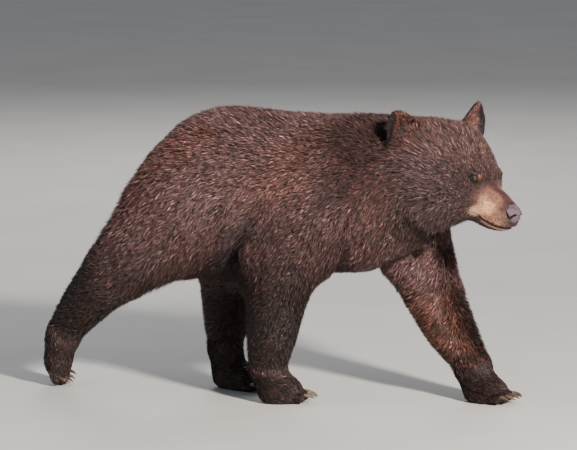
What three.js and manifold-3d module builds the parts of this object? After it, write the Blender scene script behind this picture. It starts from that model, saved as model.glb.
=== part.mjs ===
// A black bear walking, life size, as a museum model: +X is the way it walks, +Y its left, +Z up.
// The body is a set of muscle masses that blend into one surface, out to the tips of the coat.
// Each node is a capsule or ball bent along a bone and blown out to that surface, then parted by cuts.
// Millimetres.
import * as THREE from "three";
import { mergeVertices } from "three/addons/utils/BufferGeometryUtils.js";
import Module from "manifold-3d";

const wasm = await Module();
wasm.setup();

// ---- Driving dimensions -------------------------------------------------------------------------

const CUT = 0.4; // width of the thin cuts between nodes
const OVERSHOOT = 40; // how far a limb is blown out past its cutter before it is cut
const BACK_TOP = 708; // floor to the top of the coat over the loins
const BELLY_LOW = 268; // floor to the coat under the belly
const CHEST_LOW = 318; // floor to the coat under the breast
const BODY_HALF_WIDTH = 192;
const RUMP_HALF_WIDTH = 172;
const CHEST_HALF_WIDTH = 165;
const BODY_BLEND = 60; // how widely the big masses run into each other
const LIMB_BLEND = 45;
const FACE_BLEND = 26;
const FOOT_BLEND = 24;
const HEAD_YAW = -24.7; // turned to its right
const HEAD_PITCH = 12; // nose down
const HEAD_PLACE = [473, -30, 578]; // between the eyes' back walls
const EYE_RADIUS = 10.5;
const NOSE_RADII = [22, 24, 20];
const SHOULDER_RADIUS = 92;
const ELBOW_RADIUS = 78;
const WRIST_RADIUS = 46;
const HIP_RADIUS = 145;
const KNEE_RADIUS = 84;
const HOCK_RADIUS = 44;
const PALM_RADII = [38, 47, 31];
const TOE_RADII = [22, 11, 15];
const CLAW_ROOT_RADIUS = 5.2;
const RIGHT = -1;
const LEFT = 1;

// ---- Vectors and masses ------------------------------------------------------------------------

const vec = (p) => new THREE.Vector3(...p);
const degrees = THREE.MathUtils.degToRad;
const lerp = THREE.MathUtils.lerp;

/** Smooth union of two distances: they run into each other over the width `blend`. */
function join(a, b, blend) {
  const h = Math.max(blend - Math.abs(a - b), 0) / blend;
  return Math.min(a, b) - (h * h * blend) / 4;
}

/** An ellipsoid of muscle: the distance from its skin, less than zero inside. */
function mass(centre, radii, turn = new THREE.Quaternion()) {
  const middle = vec(centre);
  const back = turn.clone().invert();
  const local = new THREE.Vector3();
  return (point) => {
    local.copy(point).sub(middle).applyQuaternion(back);
    const near = Math.hypot(local.x / radii[0], local.y / radii[1], local.z / radii[2]);
    const steep = Math.hypot(
      local.x / radii[0] ** 2,
      local.y / radii[1] ** 2,
      local.z / radii[2] ** 2,
    );
    return steep > 0 ? (near * (near - 1)) / steep : -Math.min(...radii);
  };
}

/** A tapered length of limb from `a` to `b`, `flat` times as thick across the body as along it. */
function limb(a, b, radiusA, radiusB, flat = 1) {
  const start = vec(a);
  const along = vec(b).sub(start);
  const squared = along.lengthSq();
  const offset = new THREE.Vector3();
  return (point) => {
    offset.copy(point).sub(start);
    const t = THREE.MathUtils.clamp(offset.dot(along) / squared, 0, 1);
    offset.addScaledVector(along, -t);
    offset.y /= flat;
    return offset.length() - lerp(radiusA, radiusB, t);
  };
}

/** Every mass of a list run together. */
function body(masses, blend) {
  return (point) => masses.reduce((sum, one) => join(sum, one(point), blend), 1e3);
}

/** Two bodies run together. */
function together(first, second, blend) {
  return (point) => join(first(point), second(point), blend);
}

// ---- From surfaces to solids --------------------------------------------------------------------

/** A closed three.js geometry as a manifold-3d solid. */
function solid(geometry) {
  const bare = geometry.clone();
  bare.deleteAttribute("normal");
  bare.deleteAttribute("uv");
  const merged = mergeVertices(bare, 1e-4);
  return new wasm.Manifold(
    new wasm.Mesh({
      numProp: 3,
      vertProperties: merged.attributes.position.array,
      triVerts: new Uint32Array(merged.index.array),
    }),
  );
}

/** How far from `start` along `way` the surface at `level` lies, stopping at `reach`. */
function distanceToSkin(field, start, way, reach, level) {
  const STEP = 5;
  const HALVINGS = 9;
  const point = new THREE.Vector3();
  const inside = (s) => field(point.copy(start).addScaledVector(way, s)) < level;
  let far = 0;
  while (far < reach && inside(far)) far += STEP;
  if (far >= reach && inside(reach)) return reach;
  let low = Math.max(far - STEP, 0);
  let high = Math.min(far, reach);
  for (let i = 0; i < HALVINGS; i++) {
    const middle = (low + high) / 2;
    if (inside(middle)) low = middle;
    else high = middle;
  }
  return (low + high) / 2;
}

/** The frame of a bent axis at `t`: along it, across the body, and square to both. */
function frameAt(curve, t) {
  const along = curve.getTangent(t);
  const across = new THREE.Vector3(0, 1, 0);
  across.addScaledVector(along, -across.dot(along)).normalize();
  const square = new THREE.Vector3().crossVectors(across, along);
  return { along, across, square };
}

/**
 * A capsule bent along an axis and blown out to a surface. `reach(t, way)` is the furthest it goes.
 * With no field it goes to its reach everywhere, which makes the cutter that fits the same node.
 */
function blown({ axis, rings, sides, caps = 4, reach, field = null, level = 0, grow = 0 }) {
  const curve = new THREE.CatmullRomCurve3(axis.map(vec), false, "centripetal");
  const capsule = new THREE.CapsuleGeometry(1, 2, caps, sides, rings);
  capsule.deleteAttribute("normal");
  capsule.deleteAttribute("uv");
  const shape = mergeVertices(capsule, 1e-4);
  const places = shape.attributes.position;
  const way = new THREE.Vector3();
  for (let i = 0; i < places.count; i++) {
    const rise = THREE.MathUtils.clamp(places.getY(i), -1, 1);
    const t = (rise + 1) / 2;
    const { along, across, square } = frameAt(curve, t);
    way.set(0, 0, 0);
    way.addScaledVector(square, places.getX(i));
    way.addScaledVector(along, places.getY(i) - rise);
    way.addScaledVector(across, -places.getZ(i));
    way.normalize();
    const start = curve.getPoint(t);
    const most = reach(t, way) + grow;
    const s = field ? distanceToSkin(field, start, way, most, level) : most;
    start.addScaledVector(way, s);
    places.setXYZ(i, start.x, start.y, start.z);
  }
  return solid(shape);
}

/** A ball blown out from one point to a surface. */
function blownBall({ centre, detail, reach, field, level = 0 }) {
  const ball = new THREE.IcosahedronGeometry(1, detail);
  ball.deleteAttribute("normal");
  ball.deleteAttribute("uv");
  const shape = mergeVertices(ball, 1e-4);
  const places = shape.attributes.position;
  const start = vec(centre);
  const way = new THREE.Vector3();
  for (let i = 0; i < places.count; i++) {
    way.fromBufferAttribute(places, i).normalize();
    way.multiplyScalar(distanceToSkin(field, start, way, reach, level)).add(start);
    places.setXYZ(i, way.x, way.y, way.z);
  }
  return solid(shape);
}

/** The half of space behind a plane, as a big box whose face lies on it. */
function behind(point, facing, shift = 0) {
  const SIZE = 1600;
  const normal = vec(facing).normalize();
  const box = new THREE.BoxGeometry(SIZE, SIZE, SIZE);
  const turn = new THREE.Quaternion().setFromUnitVectors(new THREE.Vector3(0, 0, 1), normal);
  box.applyQuaternion(turn);
  const centre = vec(point).addScaledVector(normal, shift - SIZE / 2);
  box.translate(centre.x, centre.y, centre.z);
  return solid(box);
}

/** The named mesh of a solid. */
function node(name, shape, material) {
  const { vertProperties, triVerts } = shape.getMesh();
  const geometry = new THREE.BufferGeometry();
  geometry.setAttribute("position", new THREE.BufferAttribute(vertProperties, 3));
  geometry.setIndex(new THREE.BufferAttribute(triVerts, 1));
  geometry.computeVertexNormals();
  const mesh = new THREE.Mesh(geometry, material);
  mesh.name = name;
  return mesh;
}

// ---- Materials ----------------------------------------------------------------------------------

const finish = (color, roughness) => new THREE.MeshStandardMaterial({ color, roughness, metalness: 0 });
const coat = finish(0x3a231c, 0.8);
const legCoat = finish(0x1f1412, 0.75);
const tanCoat = finish(0x8a6248, 0.8);
const nosePad = finish(0x3b2b2e, 0.45);
const eyeGloss = finish(0x24120b, 0.1);
const horn = finish(0x4a3b31, 0.4);

// ---- Trunk, rump, neck --------------------------------------------------------------------------

const bellyMiddle = (BACK_TOP + BELLY_LOW) / 2;
const chestMiddle = (BACK_TOP - 20 + CHEST_LOW) / 2;
const trunkMasses = [
  mass([-140, 0, bellyMiddle], [215, BODY_HALF_WIDTH + 3, (BACK_TOP - BELLY_LOW) / 2]),
  mass([-205, 0, 468], [156, RUMP_HALF_WIDTH, 186]),
  mass([50, 0, 498], [260, BODY_HALF_WIDTH, 201]),
  mass([205, 0, chestMiddle], [160, CHEST_HALF_WIDTH, (BACK_TOP - 20 - CHEST_LOW) / 2]),
];
const neckMasses = [
  limb([215, 0, 545], [330, -4, 560], 136, 126),
  limb([330, -4, 560], [400, -16, 575], 126, 112),
  mass([325, -10, 505], [85, 95, 72]),
];

// ---- Head, in its own frame: +X to the nose, +Y left, +Z up -------------------------------------

const headTurn = new THREE.Quaternion()
  .setFromAxisAngle(new THREE.Vector3(0, 0, 1), degrees(HEAD_YAW))
  .multiply(
    new THREE.Quaternion().setFromAxisAngle(new THREE.Vector3(0, 1, 0), degrees(HEAD_PITCH)),
  );
const inHead = (p) => vec(p).applyQuaternion(headTurn).add(vec(HEAD_PLACE)).toArray();
const headMass = (centre, radii) => mass(inHead(centre), radii, headTurn);
const headLimb = (a, b, radiusA, radiusB) => limb(inHead(a), inHead(b), radiusA, radiusB);

const headMasses = [
  headMass([-76, 0, 0], [98, 98, 86]),
  headMass([12, 0, -16], [56, 57, 56]),
  headMass([-34, 50, -48], [88, 54, 70]),
  headMass([-34, -50, -48], [88, 54, 70]),
  headLimb([54, 0, -44], [134, 0, -68], 43, 33),
  headMass([78, 0, -92], [62, 33, 25]),
];
const EYE = [50, 40, 1];
const EYE_OUTWARD = [0.62, 0.78, 0.06];
const NOSE = [152, 0, -53];

// ---- Legs ---------------------------------------------------------------------------------------

/** Shoulder, upper arm and forearm down to the wrist. */
function foreLeg({ blade, shoulder, elbow, middle, wrist }) {
  return {
    upper: [
      limb(blade, shoulder, SHOULDER_RADIUS - 4, SHOULDER_RADIUS, 0.78),
      limb(shoulder, elbow, SHOULDER_RADIUS, ELBOW_RADIUS, 0.84),
    ],
    lower: [
      limb(elbow, middle, ELBOW_RADIUS - 4, 60, 0.98),
      limb(middle, wrist, 60, WRIST_RADIUS, 0.98),
    ],
  };
}

/** Thigh and shank down to the hock. */
function hindLeg({ hip, knee, calf, hock }) {
  return {
    upper: [limb(hip, knee, HIP_RADIUS, KNEE_RADIUS, 0.66)],
    lower: [
      limb(knee, calf, KNEE_RADIUS - 4, 60, 0.84),
      limb(calf, hock, 60, HOCK_RADIUS, 0.92),
    ],
  };
}

const legs = [
  {
    names: ["upper_arm_right", "forearm_right", "front_paw_right"],
    side: RIGHT,
    masses: foreLeg({
      blade: [150, -92, 590],
      shoulder: [155, -112, 465],
      elbow: [30, -112, 335],
      middle: [4, -96, 205],
      wrist: [-24, -72, 88],
    }),
    axis: [
      [135, -95, 520],
      [80, -108, 400],
      [28, -108, 318],
      [4, -96, 205],
      [-22, -74, 96],
      [-26, -70, 60],
    ],
    reach: [112, 112, 100, 88],
    joint: [14, -104, 262],
    end: [-24, -72, 84],
    foot: { heel: [-6, -76, 32], ball: [22, -60, 26], pointing: [1, 0.45, 0], width: 19 },
    clawLength: 36,
  },
  {
    names: ["upper_arm_left", "forearm_left", "front_paw_left"],
    side: LEFT,
    masses: foreLeg({
      blade: [195, 90, 580],
      shoulder: [242, 104, 455],
      elbow: [296, 118, 335],
      middle: [352, 122, 200],
      wrist: [424, 122, 92],
    }),
    axis: [
      [220, 95, 520],
      [270, 110, 420],
      [308, 120, 322],
      [352, 122, 205],
      [418, 122, 100],
      [436, 122, 66],
    ],
    reach: [112, 112, 104, 88],
    joint: [330, 121, 262],
    end: [427, 122, 86],
    foot: { heel: [446, 122, 30], ball: [478, 118, 26], pointing: [1, -0.1, 0], width: 19 },
    clawLength: 36,
  },
  {
    names: ["thigh_right", "shank_right", "hind_paw_right"],
    side: RIGHT,
    masses: hindLeg({
      hip: [-246, -92, 458],
      knee: [-368, -108, 336],
      calf: [-464, -98, 244],
      hock: [-558, -68, 146],
    }),
    axis: [
      [-225, -90, 470],
      [-304, -104, 390],
      [-372, -108, 326],
      [-462, -98, 240],
      [-552, -70, 150],
      [-577, -60, 118],
    ],
    reach: [130, 165, 130, 90],
    joint: [-400, -106, 298],
    end: [-560, -66, 132],
    foot: {
      heel: [-578, -60, 108],
      ball: [-592, -46, 50],
      pointing: [0.5, 0.1, -0.86],
      clawsPointing: [0.96, 0.1, -0.27],
      width: 18,
    },
    clawLength: 24,
  },
  {
    names: ["thigh_left", "shank_left", "hind_paw_left"],
    side: LEFT,
    masses: hindLeg({
      hip: [-222, 92, 450],
      knee: [-182, 106, 322],
      calf: [-194, 96, 215],
      hock: [-200, 78, 108],
    }),
    axis: [
      [-216, 90, 470],
      [-192, 102, 390],
      [-176, 104, 310],
      [-186, 96, 215],
      [-196, 80, 112],
      [-198, 76, 76],
    ],
    reach: [125, 135, 115, 90],
    joint: [-180, 102, 268],
    end: [-195, 78, 96],
    foot: { heel: [-186, 70, 34], ball: [-130, 56, 26], pointing: [1, -0.28, 0], width: 18 },
    clawLength: 27,
  },
];

/** The directions of a foot that points a given way: along it, across it, and out of its top. */
function footFrame(pointing) {
  const along = vec(pointing).normalize();
  const across = new THREE.Vector3(0, 1, 0);
  across.addScaledVector(along, -across.dot(along)).normalize();
  const upper = new THREE.Vector3().crossVectors(along, across);
  const basis = new THREE.Matrix4().makeBasis(along, across, upper);
  return { along, across, upper, turn: new THREE.Quaternion().setFromRotationMatrix(basis) };
}

/** The masses of a foot: from the ankle to the heel, and the broad ball behind the toes. */
function footMasses({ foot, end }) {
  const { turn } = footFrame(foot.pointing);
  return [
    limb(end, foot.heel, WRIST_RADIUS, 38, 0.95),
    limb(foot.heel, foot.ball, 36, 32, 1.15),
    mass(foot.ball, PALM_RADII, turn),
  ];
}

/** The middle of each toe, by its place from -2 to 2 across the foot. */
function toeMiddle(foot, place) {
  const LEAD = 36;
  const ARC = 2.6;
  const DROP = 9;
  const { along, across, upper } = footFrame(foot.pointing);
  return vec(foot.ball)
    .addScaledVector(along, LEAD - ARC * place * place)
    .addScaledVector(across, place * foot.width)
    .addScaledVector(upper, -DROP);
}

/** A toe as a small ball drawn out forward. */
function toe(foot, place) {
  const { turn } = footFrame(foot.pointing);
  const sphere = new THREE.SphereGeometry(1, 6, 4);
  sphere.scale(...TOE_RADII);
  sphere.applyQuaternion(turn);
  sphere.translate(...toeMiddle(foot, place).toArray());
  return solid(sphere);
}

/** A claw: a cone drawn out along an arc that curls down, `grow` larger all round for its socket. */
function claw(foot, place, length, grow = 0) {
  const CURL = degrees(70);
  const LIFT = degrees(14);
  const NARROW = 0.65;
  const { along, across, upper } = footFrame(foot.clawsPointing ?? foot.pointing);
  const cone = new THREE.ConeGeometry(CLAW_ROOT_RADIUS + grow, length + grow, 5, 2);
  cone.translate(0, (length - grow) / 2, 0);
  const places = cone.attributes.position;
  const root = toeMiddle(foot, place).addScaledVector(along, 12).addScaledVector(upper, 5);
  const bend = length / CURL;
  for (let i = 0; i < places.count; i++) {
    const turned = (places.getY(i) / length) * CURL - LIFT;
    const out = bend * (Math.sin(turned) + Math.sin(LIFT)) + places.getX(i) * Math.sin(turned);
    const down = bend * (Math.cos(LIFT) - Math.cos(turned)) - places.getX(i) * Math.cos(turned);
    const point = root.clone();
    point.addScaledVector(along, out);
    point.addScaledVector(upper, -down);
    point.addScaledVector(across, places.getZ(i) * NARROW);
    places.setXYZ(i, point.x, point.y, point.z);
  }
  return solid(cone);
}

// ---- Surfaces -----------------------------------------------------------------------------------

const limbMasses = legs.flatMap(({ masses }) => masses.upper);
const trunkField = together(
  together(body(trunkMasses, BODY_BLEND), body(neckMasses, BODY_BLEND), BODY_BLEND),
  body(limbMasses, LIMB_BLEND),
  LIMB_BLEND,
);
const headField = body(headMasses, FACE_BLEND);
const neckField = together(trunkField, headField, LIMB_BLEND);
const faceField = together(headField, body(neckMasses, BODY_BLEND), LIMB_BLEND);

// ---- Nodes --------------------------------------------------------------------------------------

const bear = new THREE.Group();
const FLOOR = behind([0, 0, 0], [0, 0, -1]);

/** How far a leg's node reaches from its axis: never past the middle of the body. */
function legReach({ reach, side, axis }) {
  const MIDDLE_WEB = 22;
  const curve = new THREE.CatmullRomCurve3(axis.map(vec), false, "centripetal");
  return (t, way) => {
    const s = t * (reach.length - 1);
    const i = Math.min(Math.floor(s), reach.length - 2);
    const plain = lerp(reach[i], reach[i + 1], s - i);
    const outward = way.y * side;
    if (outward >= 0) return plain * (1 + 0.9 * outward * outward);
    const room = curve.getPoint(t).y * side - MIDDLE_WEB;
    return Math.min(plain, room / -outward);
  };
}

/** One leg: its upper and lower lengths and its foot with the claws. Returns its cutter. */
function addLeg(leg) {
  const { names, masses, axis, joint, end, foot, clawLength } = leg;
  const field = together(
    together(trunkField, body([...masses.upper, ...masses.lower], LIMB_BLEND), LIMB_BLEND),
    body(footMasses(leg), FOOT_BLEND),
    FOOT_BLEND,
  );
  const shape = { axis, rings: 9, sides: 14, caps: 3, reach: legReach(leg) };
  const cutter = blown(shape);
  const whole = blown({ ...shape, field, grow: OVERSHOOT }).intersect(cutter);
  const facing = vec(axis.at(-1)).sub(vec(axis.at(-3))).toArray();
  const bend = vec(axis[4]).sub(vec(axis[1])).toArray();
  const back = facing.map((x) => -x);
  const upper = whole.intersect(behind(joint, bend, -CUT / 2));
  const lower = whole
    .intersect(behind(joint, bend.map((x) => -x), -CUT / 2))
    .intersect(behind(end, facing, -CUT / 2));
  bear.add(node(names[0], upper, coat));
  bear.add(node(names[1], lower, legCoat));

  const centre = vec(end).lerp(vec(foot.heel), 0.6).toArray();
  let paw = blownBall({ centre, detail: 3, reach: 170, field });
  const PLACES = [-2, -1, 0, 1, 2];
  for (const place of PLACES) paw = paw.add(toe(foot, place));
  paw = paw.intersect(behind(end, back, -CUT / 2)).intersect(FLOOR);
  PLACES.forEach((place, i) => {
    paw = paw.subtract(claw(foot, place, clawLength, CUT));
    const name = names[2].replace("paw", "claw") + "_" + (i + 1);
    bear.add(node(name, claw(foot, place, clawLength), horn));
  });
  bear.add(node(names[2], paw, legCoat));
  return blown({ ...shape, grow: CUT });
}

const cutters = legs.map(addLeg);
const NECK_BASE = { point: [262, 0, 550], facing: [0.91, 0, 0.42] };
const SKULL_BASE = {
  point: inHead([-88, 0, -10]),
  facing: vec([0.918, 0, 0.396]).applyQuaternion(headTurn).toArray(),
};
const opposite = (facing) => facing.map((x) => -x);

/** The trunk: blown out from a line along the back, less the legs and the neck. */
function addTrunk() {
  const shape = {
    axis: [
      [-250, 0, 480],
      [-100, 0, 490],
      [80, 0, 505],
      [200, 0, 520],
    ],
    rings: 9,
    sides: 20,
    caps: 3,
    reach: () => 360,
    field: trunkField,
  };
  let trunk = blown(shape).intersect(behind(NECK_BASE.point, NECK_BASE.facing, -CUT / 2));
  const tailField = body(
    [limb([-340, 0, 556], [-390, 0, 436], 25, 17), limb([-310, 0, 580], [-340, 0, 556], 25, 25)],
    LIMB_BLEND,
  );
  const tailAxis = [
    [-314, 0, 576],
    [-350, 0, 530],
    [-387, 0, 445],
  ];
  const tail = blown({ axis: tailAxis, rings: 5, sides: 8, caps: 2, reach: () => 60, field: tailField });
  const outside = blown({ ...shape, level: CUT });
  bear.add(node("tail", tail.subtract(outside), coat));
  for (const cutter of cutters) trunk = trunk.subtract(cutter);
  bear.add(node("trunk", trunk, coat));
}

/** The neck between the trunk and the skull. */
function addNeck() {
  const shape = {
    axis: [
      [225, 0, 545],
      [330, -6, 565],
      [420, -22, 578],
    ],
    rings: 6,
    sides: 20,
    caps: 3,
    reach: () => 260,
    field: neckField,
  };
  let neck = blown(shape);
  neck = neck.intersect(behind(NECK_BASE.point, opposite(NECK_BASE.facing), -CUT / 2));
  neck = neck.intersect(behind(SKULL_BASE.point, SKULL_BASE.facing, -CUT / 2));
  for (const cutter of cutters) neck = neck.subtract(cutter);
  bear.add(node("neck", neck, coat));
  return blown({ ...shape, level: CUT });
}

/** A piece made in the head's frame, placed on the head. */
function placed(geometry) {
  geometry.applyQuaternion(headTurn);
  geometry.translate(...HEAD_PLACE);
  return solid(geometry);
}

/** A ball made in the head's frame, drawn out along `facing` where that is given. */
function headBall(centre, radii, grow = 0, facing = null) {
  const sphere = new THREE.SphereGeometry(1, 10, 6);
  sphere.scale(...radii.map((r) => r + grow));
  if (facing) {
    const turn = new THREE.Quaternion();
    turn.setFromUnitVectors(new THREE.Vector3(1, 0, 0), vec(facing).normalize());
    sphere.applyQuaternion(turn);
  }
  sphere.translate(...centre);
  return placed(sphere);
}

/** The lower jaw's outline from the side, up to the mouth, as a cutter across the head. */
function jawCutter(grow) {
  const HALF_WIDTH = 130;
  const outline = new THREE.Shape();
  outline.moveTo(215, -92 + grow);
  outline.quadraticCurveTo(130, -102 + grow, 88 - grow, -84 + grow);
  outline.lineTo(20 - grow, -92);
  outline.lineTo(8 - grow, -190);
  outline.lineTo(215, -190);
  const slab = new THREE.ExtrudeGeometry(outline, {
    depth: 2 * HALF_WIDTH,
    bevelEnabled: false,
    curveSegments: 8,
  });
  slab.rotateX(Math.PI / 2);
  slab.translate(0, HALF_WIDTH, 0);
  return placed(slab);
}

/** An ear: a bent leaf, hollowed in front, leaning out and back from the crown. */
function earLeaf(side) {
  const HEIGHT = 58;
  const WIDTH = 43;
  const THICK = 15;
  const CUP = 0.006;
  const leaf = new THREE.SphereGeometry(1, 12, 8);
  leaf.rotateX(Math.PI / 2);
  leaf.scale(THICK, WIDTH, HEIGHT);
  const hollow = new THREE.SphereGeometry(1, 10, 6);
  hollow.rotateX(Math.PI / 2);
  hollow.scale(THICK, WIDTH * 0.8, HEIGHT * 0.8);
  hollow.translate(THICK * 0.9, 0, -2);
  for (const shape of [leaf, hollow]) {
    const places = shape.attributes.position;
    for (let i = 0; i < places.count; i++) {
      const cupped = CUP * places.getY(i) ** 2;
      places.setX(i, places.getX(i) + cupped);
    }
    shape.rotateZ(degrees(12) * side);
    shape.rotateX(degrees(-37) * side);
    shape.rotateY(degrees(-12));
    shape.translate(-130, side * 117, 68);
  }
  return placed(leaf).subtract(placed(hollow));
}

/** The head with its jaw, nose, eyes and ears. */
function addHead(neckOutside) {
  const axis = [[-70, 0, 10], [0, 0, -12], [70, 0, -42], [130, 0, -62]].map(inHead);
  const shape = { axis, rings: 10, sides: 20, caps: 4, reach: () => 190, field: faceField };
  const whole = blown(shape);
  const outside = blown({ ...shape, level: CUT });
  let head = whole.intersect(behind(SKULL_BASE.point, opposite(SKULL_BASE.facing), -CUT / 2));
  bear.add(node("jaw", head.intersect(jawCutter(0)), tanCoat));
  head = head.subtract(jawCutter(CUT));
  bear.add(node("nose", headBall(NOSE, NOSE_RADII), nosePad));
  head = head.subtract(headBall(NOSE, NOSE_RADII, CUT));
  for (const side of [RIGHT, LEFT]) {
    const word = side === RIGHT ? "right" : "left";
    const centre = [EYE[0], EYE[1] * side, EYE[2]];
    const outward = vec([EYE_OUTWARD[0], EYE_OUTWARD[1] * side, EYE_OUTWARD[2]]).normalize();
    const opening = vec(centre).addScaledVector(outward, EYE_RADIUS + 3).toArray();
    const eyeball = headBall(centre, [EYE_RADIUS, EYE_RADIUS, EYE_RADIUS]);
    bear.add(node("eye_" + word, eyeball, eyeGloss));
    head = head.subtract(headBall(centre, [EYE_RADIUS, EYE_RADIUS, EYE_RADIUS], CUT));
    head = head.subtract(headBall(opening, [15, 12, 9], 0, outward.toArray()));
    bear.add(node("ear_" + word, earLeaf(side).subtract(outside).subtract(neckOutside), coat));
  }
  bear.add(node("head", head, coat));
}

addTrunk();
addHead(addNeck());

// The origin is on the floor, under the middle of the whole.
const middle = new THREE.Box3().setFromObject(bear).getCenter(new THREE.Vector3());
bear.position.set(-middle.x, -middle.y, 0);

export default bear;
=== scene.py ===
"""A black bear, walking, life size: its skin, coat, eyes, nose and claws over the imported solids.

The solids give the outline out to the tips of the coat. One skin lies inside them by the coat's depth.
Tufts grow from it, follow its shape along the lie of the coat, and end at the outline. Metres.
"""

import logging
import math
from collections.abc import Callable, Iterable
from dataclasses import dataclass, field
from enum import Enum

import bmesh
import bpy
import numpy as np
from mathutils import Matrix, Vector
from mathutils.bvhtree import BVHTree
from mathutils.kdtree import KDTree


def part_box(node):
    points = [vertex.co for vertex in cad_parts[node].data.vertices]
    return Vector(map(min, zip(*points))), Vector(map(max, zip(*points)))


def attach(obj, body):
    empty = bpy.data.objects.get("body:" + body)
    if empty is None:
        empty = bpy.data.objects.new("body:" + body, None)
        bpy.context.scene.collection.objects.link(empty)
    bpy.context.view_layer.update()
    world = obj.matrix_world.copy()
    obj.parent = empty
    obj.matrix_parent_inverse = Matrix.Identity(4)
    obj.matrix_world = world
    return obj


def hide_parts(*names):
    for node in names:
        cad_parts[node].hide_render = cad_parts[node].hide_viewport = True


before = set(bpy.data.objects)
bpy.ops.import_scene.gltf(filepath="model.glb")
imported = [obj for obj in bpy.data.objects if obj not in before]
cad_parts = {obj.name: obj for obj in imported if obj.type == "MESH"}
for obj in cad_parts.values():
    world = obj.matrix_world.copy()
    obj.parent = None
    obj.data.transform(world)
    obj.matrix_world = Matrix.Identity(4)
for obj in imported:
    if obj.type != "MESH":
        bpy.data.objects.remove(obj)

log = logging.getLogger("bear")

BODY = "root"
SEED = 20
MM = 0.001
FAR = 9999.0  # past anything along the head, in millimetres
MERGE = 1e-6  # loose triangles' corners closer than this are one point
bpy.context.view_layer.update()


class Side(Enum):
    """The bear's own right and left."""

    RIGHT = "right"
    LEFT = "left"

    @property
    def sign(self) -> int:
        """Which way it lies along the head's Y."""
        return 1 if self is Side.LEFT else -1

    @classmethod
    def of(cls, node: str) -> "Side":
        """The side that a node's name ends with."""
        return cls(node.rsplit("_", 1)[1])


class Slot(Enum):
    """The record's material slots."""

    COAT = "coat"
    LEG_COAT = "leg_coat"
    MUZZLE_COAT = "muzzle_coat"
    NOSE_PAD = "nose_pad"
    EYE = "eye"
    CLAW = "claw"


# ---- Numbers ------------------------------------------------------------------------------------


def colour(code: str) -> np.ndarray:
    """A colour written as six hex digits, as a shader's linear values.

    Args:
        code: red, green and blue, two digits each.

    Returns:
        Three linear values.
    """
    values = np.array([int(code[i : i + 2], 16) / 255 for i in (0, 2, 4)])
    return np.where(values <= 0.04045, values / 12.92, ((values + 0.055) / 1.055) ** 2.4)


def unit(vectors: np.ndarray) -> np.ndarray:
    """Each row at length one."""
    return vectors / np.maximum(np.linalg.norm(vectors, axis=1, keepdims=True), 1e-9)


def ramp(values: np.ndarray, start: float, end: float) -> np.ndarray:
    """Zero before `start`, one past `end`, and smooth between them.

    Args:
        values: any numbers.
        start: where it leaves zero.
        end: where it reaches one, above or below `start`.

    Returns:
        Numbers from zero to one.
    """
    t = np.clip((values - start) / (end - start), 0, 1)
    return t * t * (3 - 2 * t)


def bump(values: np.ndarray, middle: float, width: float) -> np.ndarray:
    """One at `middle`, falling away on both sides over `width`."""
    return np.exp(-(((values - middle) / width) ** 2))


def blend(a: np.ndarray, b: np.ndarray, amount: np.ndarray) -> np.ndarray:
    """Rows of `a` turned into `b` by `amount`, one number a row."""
    return a + (b - a) * amount[:, None]


def waves(points: np.ndarray, size: float, seed: int) -> np.ndarray:
    """A smooth, seeded wandering number for each point.

    Args:
        points: places, one a row.
        size: how wide its swells are.
        seed: which pattern.

    Returns:
        Numbers mostly from -1 to 1.
    """
    rng = np.random.default_rng(seed)
    total = np.zeros(len(points))
    count, calm = 7, 1.4  # plane waves, and how far their sum is brought down
    for _ in range(count):
        way = rng.normal(size=3)
        way *= 2 * math.pi / (size * rng.uniform(0.7, 1.6) * np.linalg.norm(way))
        total += np.sin(points @ way + rng.uniform(0, 2 * math.pi))
    return total / math.sqrt(count / 2) / calm


def mirrored(points: np.ndarray) -> np.ndarray:
    """Points with their Y made positive."""
    return np.column_stack([points[:, 0], np.abs(points[:, 1]), points[:, 2]])


# ---- Meshes -------------------------------------------------------------------------------------


def read(
    collection: bpy.types.bpy_prop_collection, name: str, width: int, kind: type = np.float32
) -> np.ndarray:
    """A mesh's property as an array.

    Args:
        collection: the mesh's elements.
        name: the property.
        width: how many numbers it has.
        kind: their type.

    Returns:
        One row an element.
    """
    values = np.empty(len(collection) * width, kind)
    collection.foreach_get(name, values)
    return values.reshape(-1, width) if width > 1 else values


def new_object(name: str, mesh: bpy.types.Mesh) -> bpy.types.Object:
    """An object in the scene, with its place in its mesh.

    Args:
        name: the name of both.
        mesh: its mesh.

    Returns:
        The new object.
    """
    mesh.name = name
    thing = bpy.data.objects.new(name, mesh)
    bpy.context.scene.collection.objects.link(thing)
    return thing


def from_bmesh(name: str, shape: bmesh.types.BMesh, smooth: bool = True) -> bpy.types.Mesh:
    """A bmesh as a mesh.

    Args:
        name: the mesh's name.
        shape: the bmesh, which is freed.
        smooth: whether its faces are shaded smooth.

    Returns:
        The new mesh.
    """
    mesh = bpy.data.meshes.new(name)
    for face in shape.faces:
        face.smooth = smooth
    shape.to_mesh(mesh)
    shape.free()
    return mesh


def to_bmesh(mesh: bpy.types.Mesh) -> bmesh.types.BMesh:
    """A copy of a mesh as a bmesh.

    Args:
        mesh: the mesh, which stays.

    Returns:
        The new bmesh.
    """
    shape = bmesh.new()
    shape.from_mesh(mesh)
    return shape


def points_of(shape: bmesh.types.BMesh) -> np.ndarray:
    """A bmesh's vertices, one a row."""
    return np.array([v.co for v in shape.verts])


def set_points(verts: Iterable[bmesh.types.BMVert], points: np.ndarray) -> None:
    """Puts vertices at new points, one a row."""
    for vert, point in zip(verts, points):
        vert.co = point


def write_number(mesh: bpy.types.Mesh, name: str, values: np.ndarray) -> None:
    """Writes a number for each vertex as an attribute that the materials read."""
    layer = mesh.attributes.new(name, "FLOAT", "POINT")
    layer.data.foreach_set("value", values.astype(np.float32))


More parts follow.
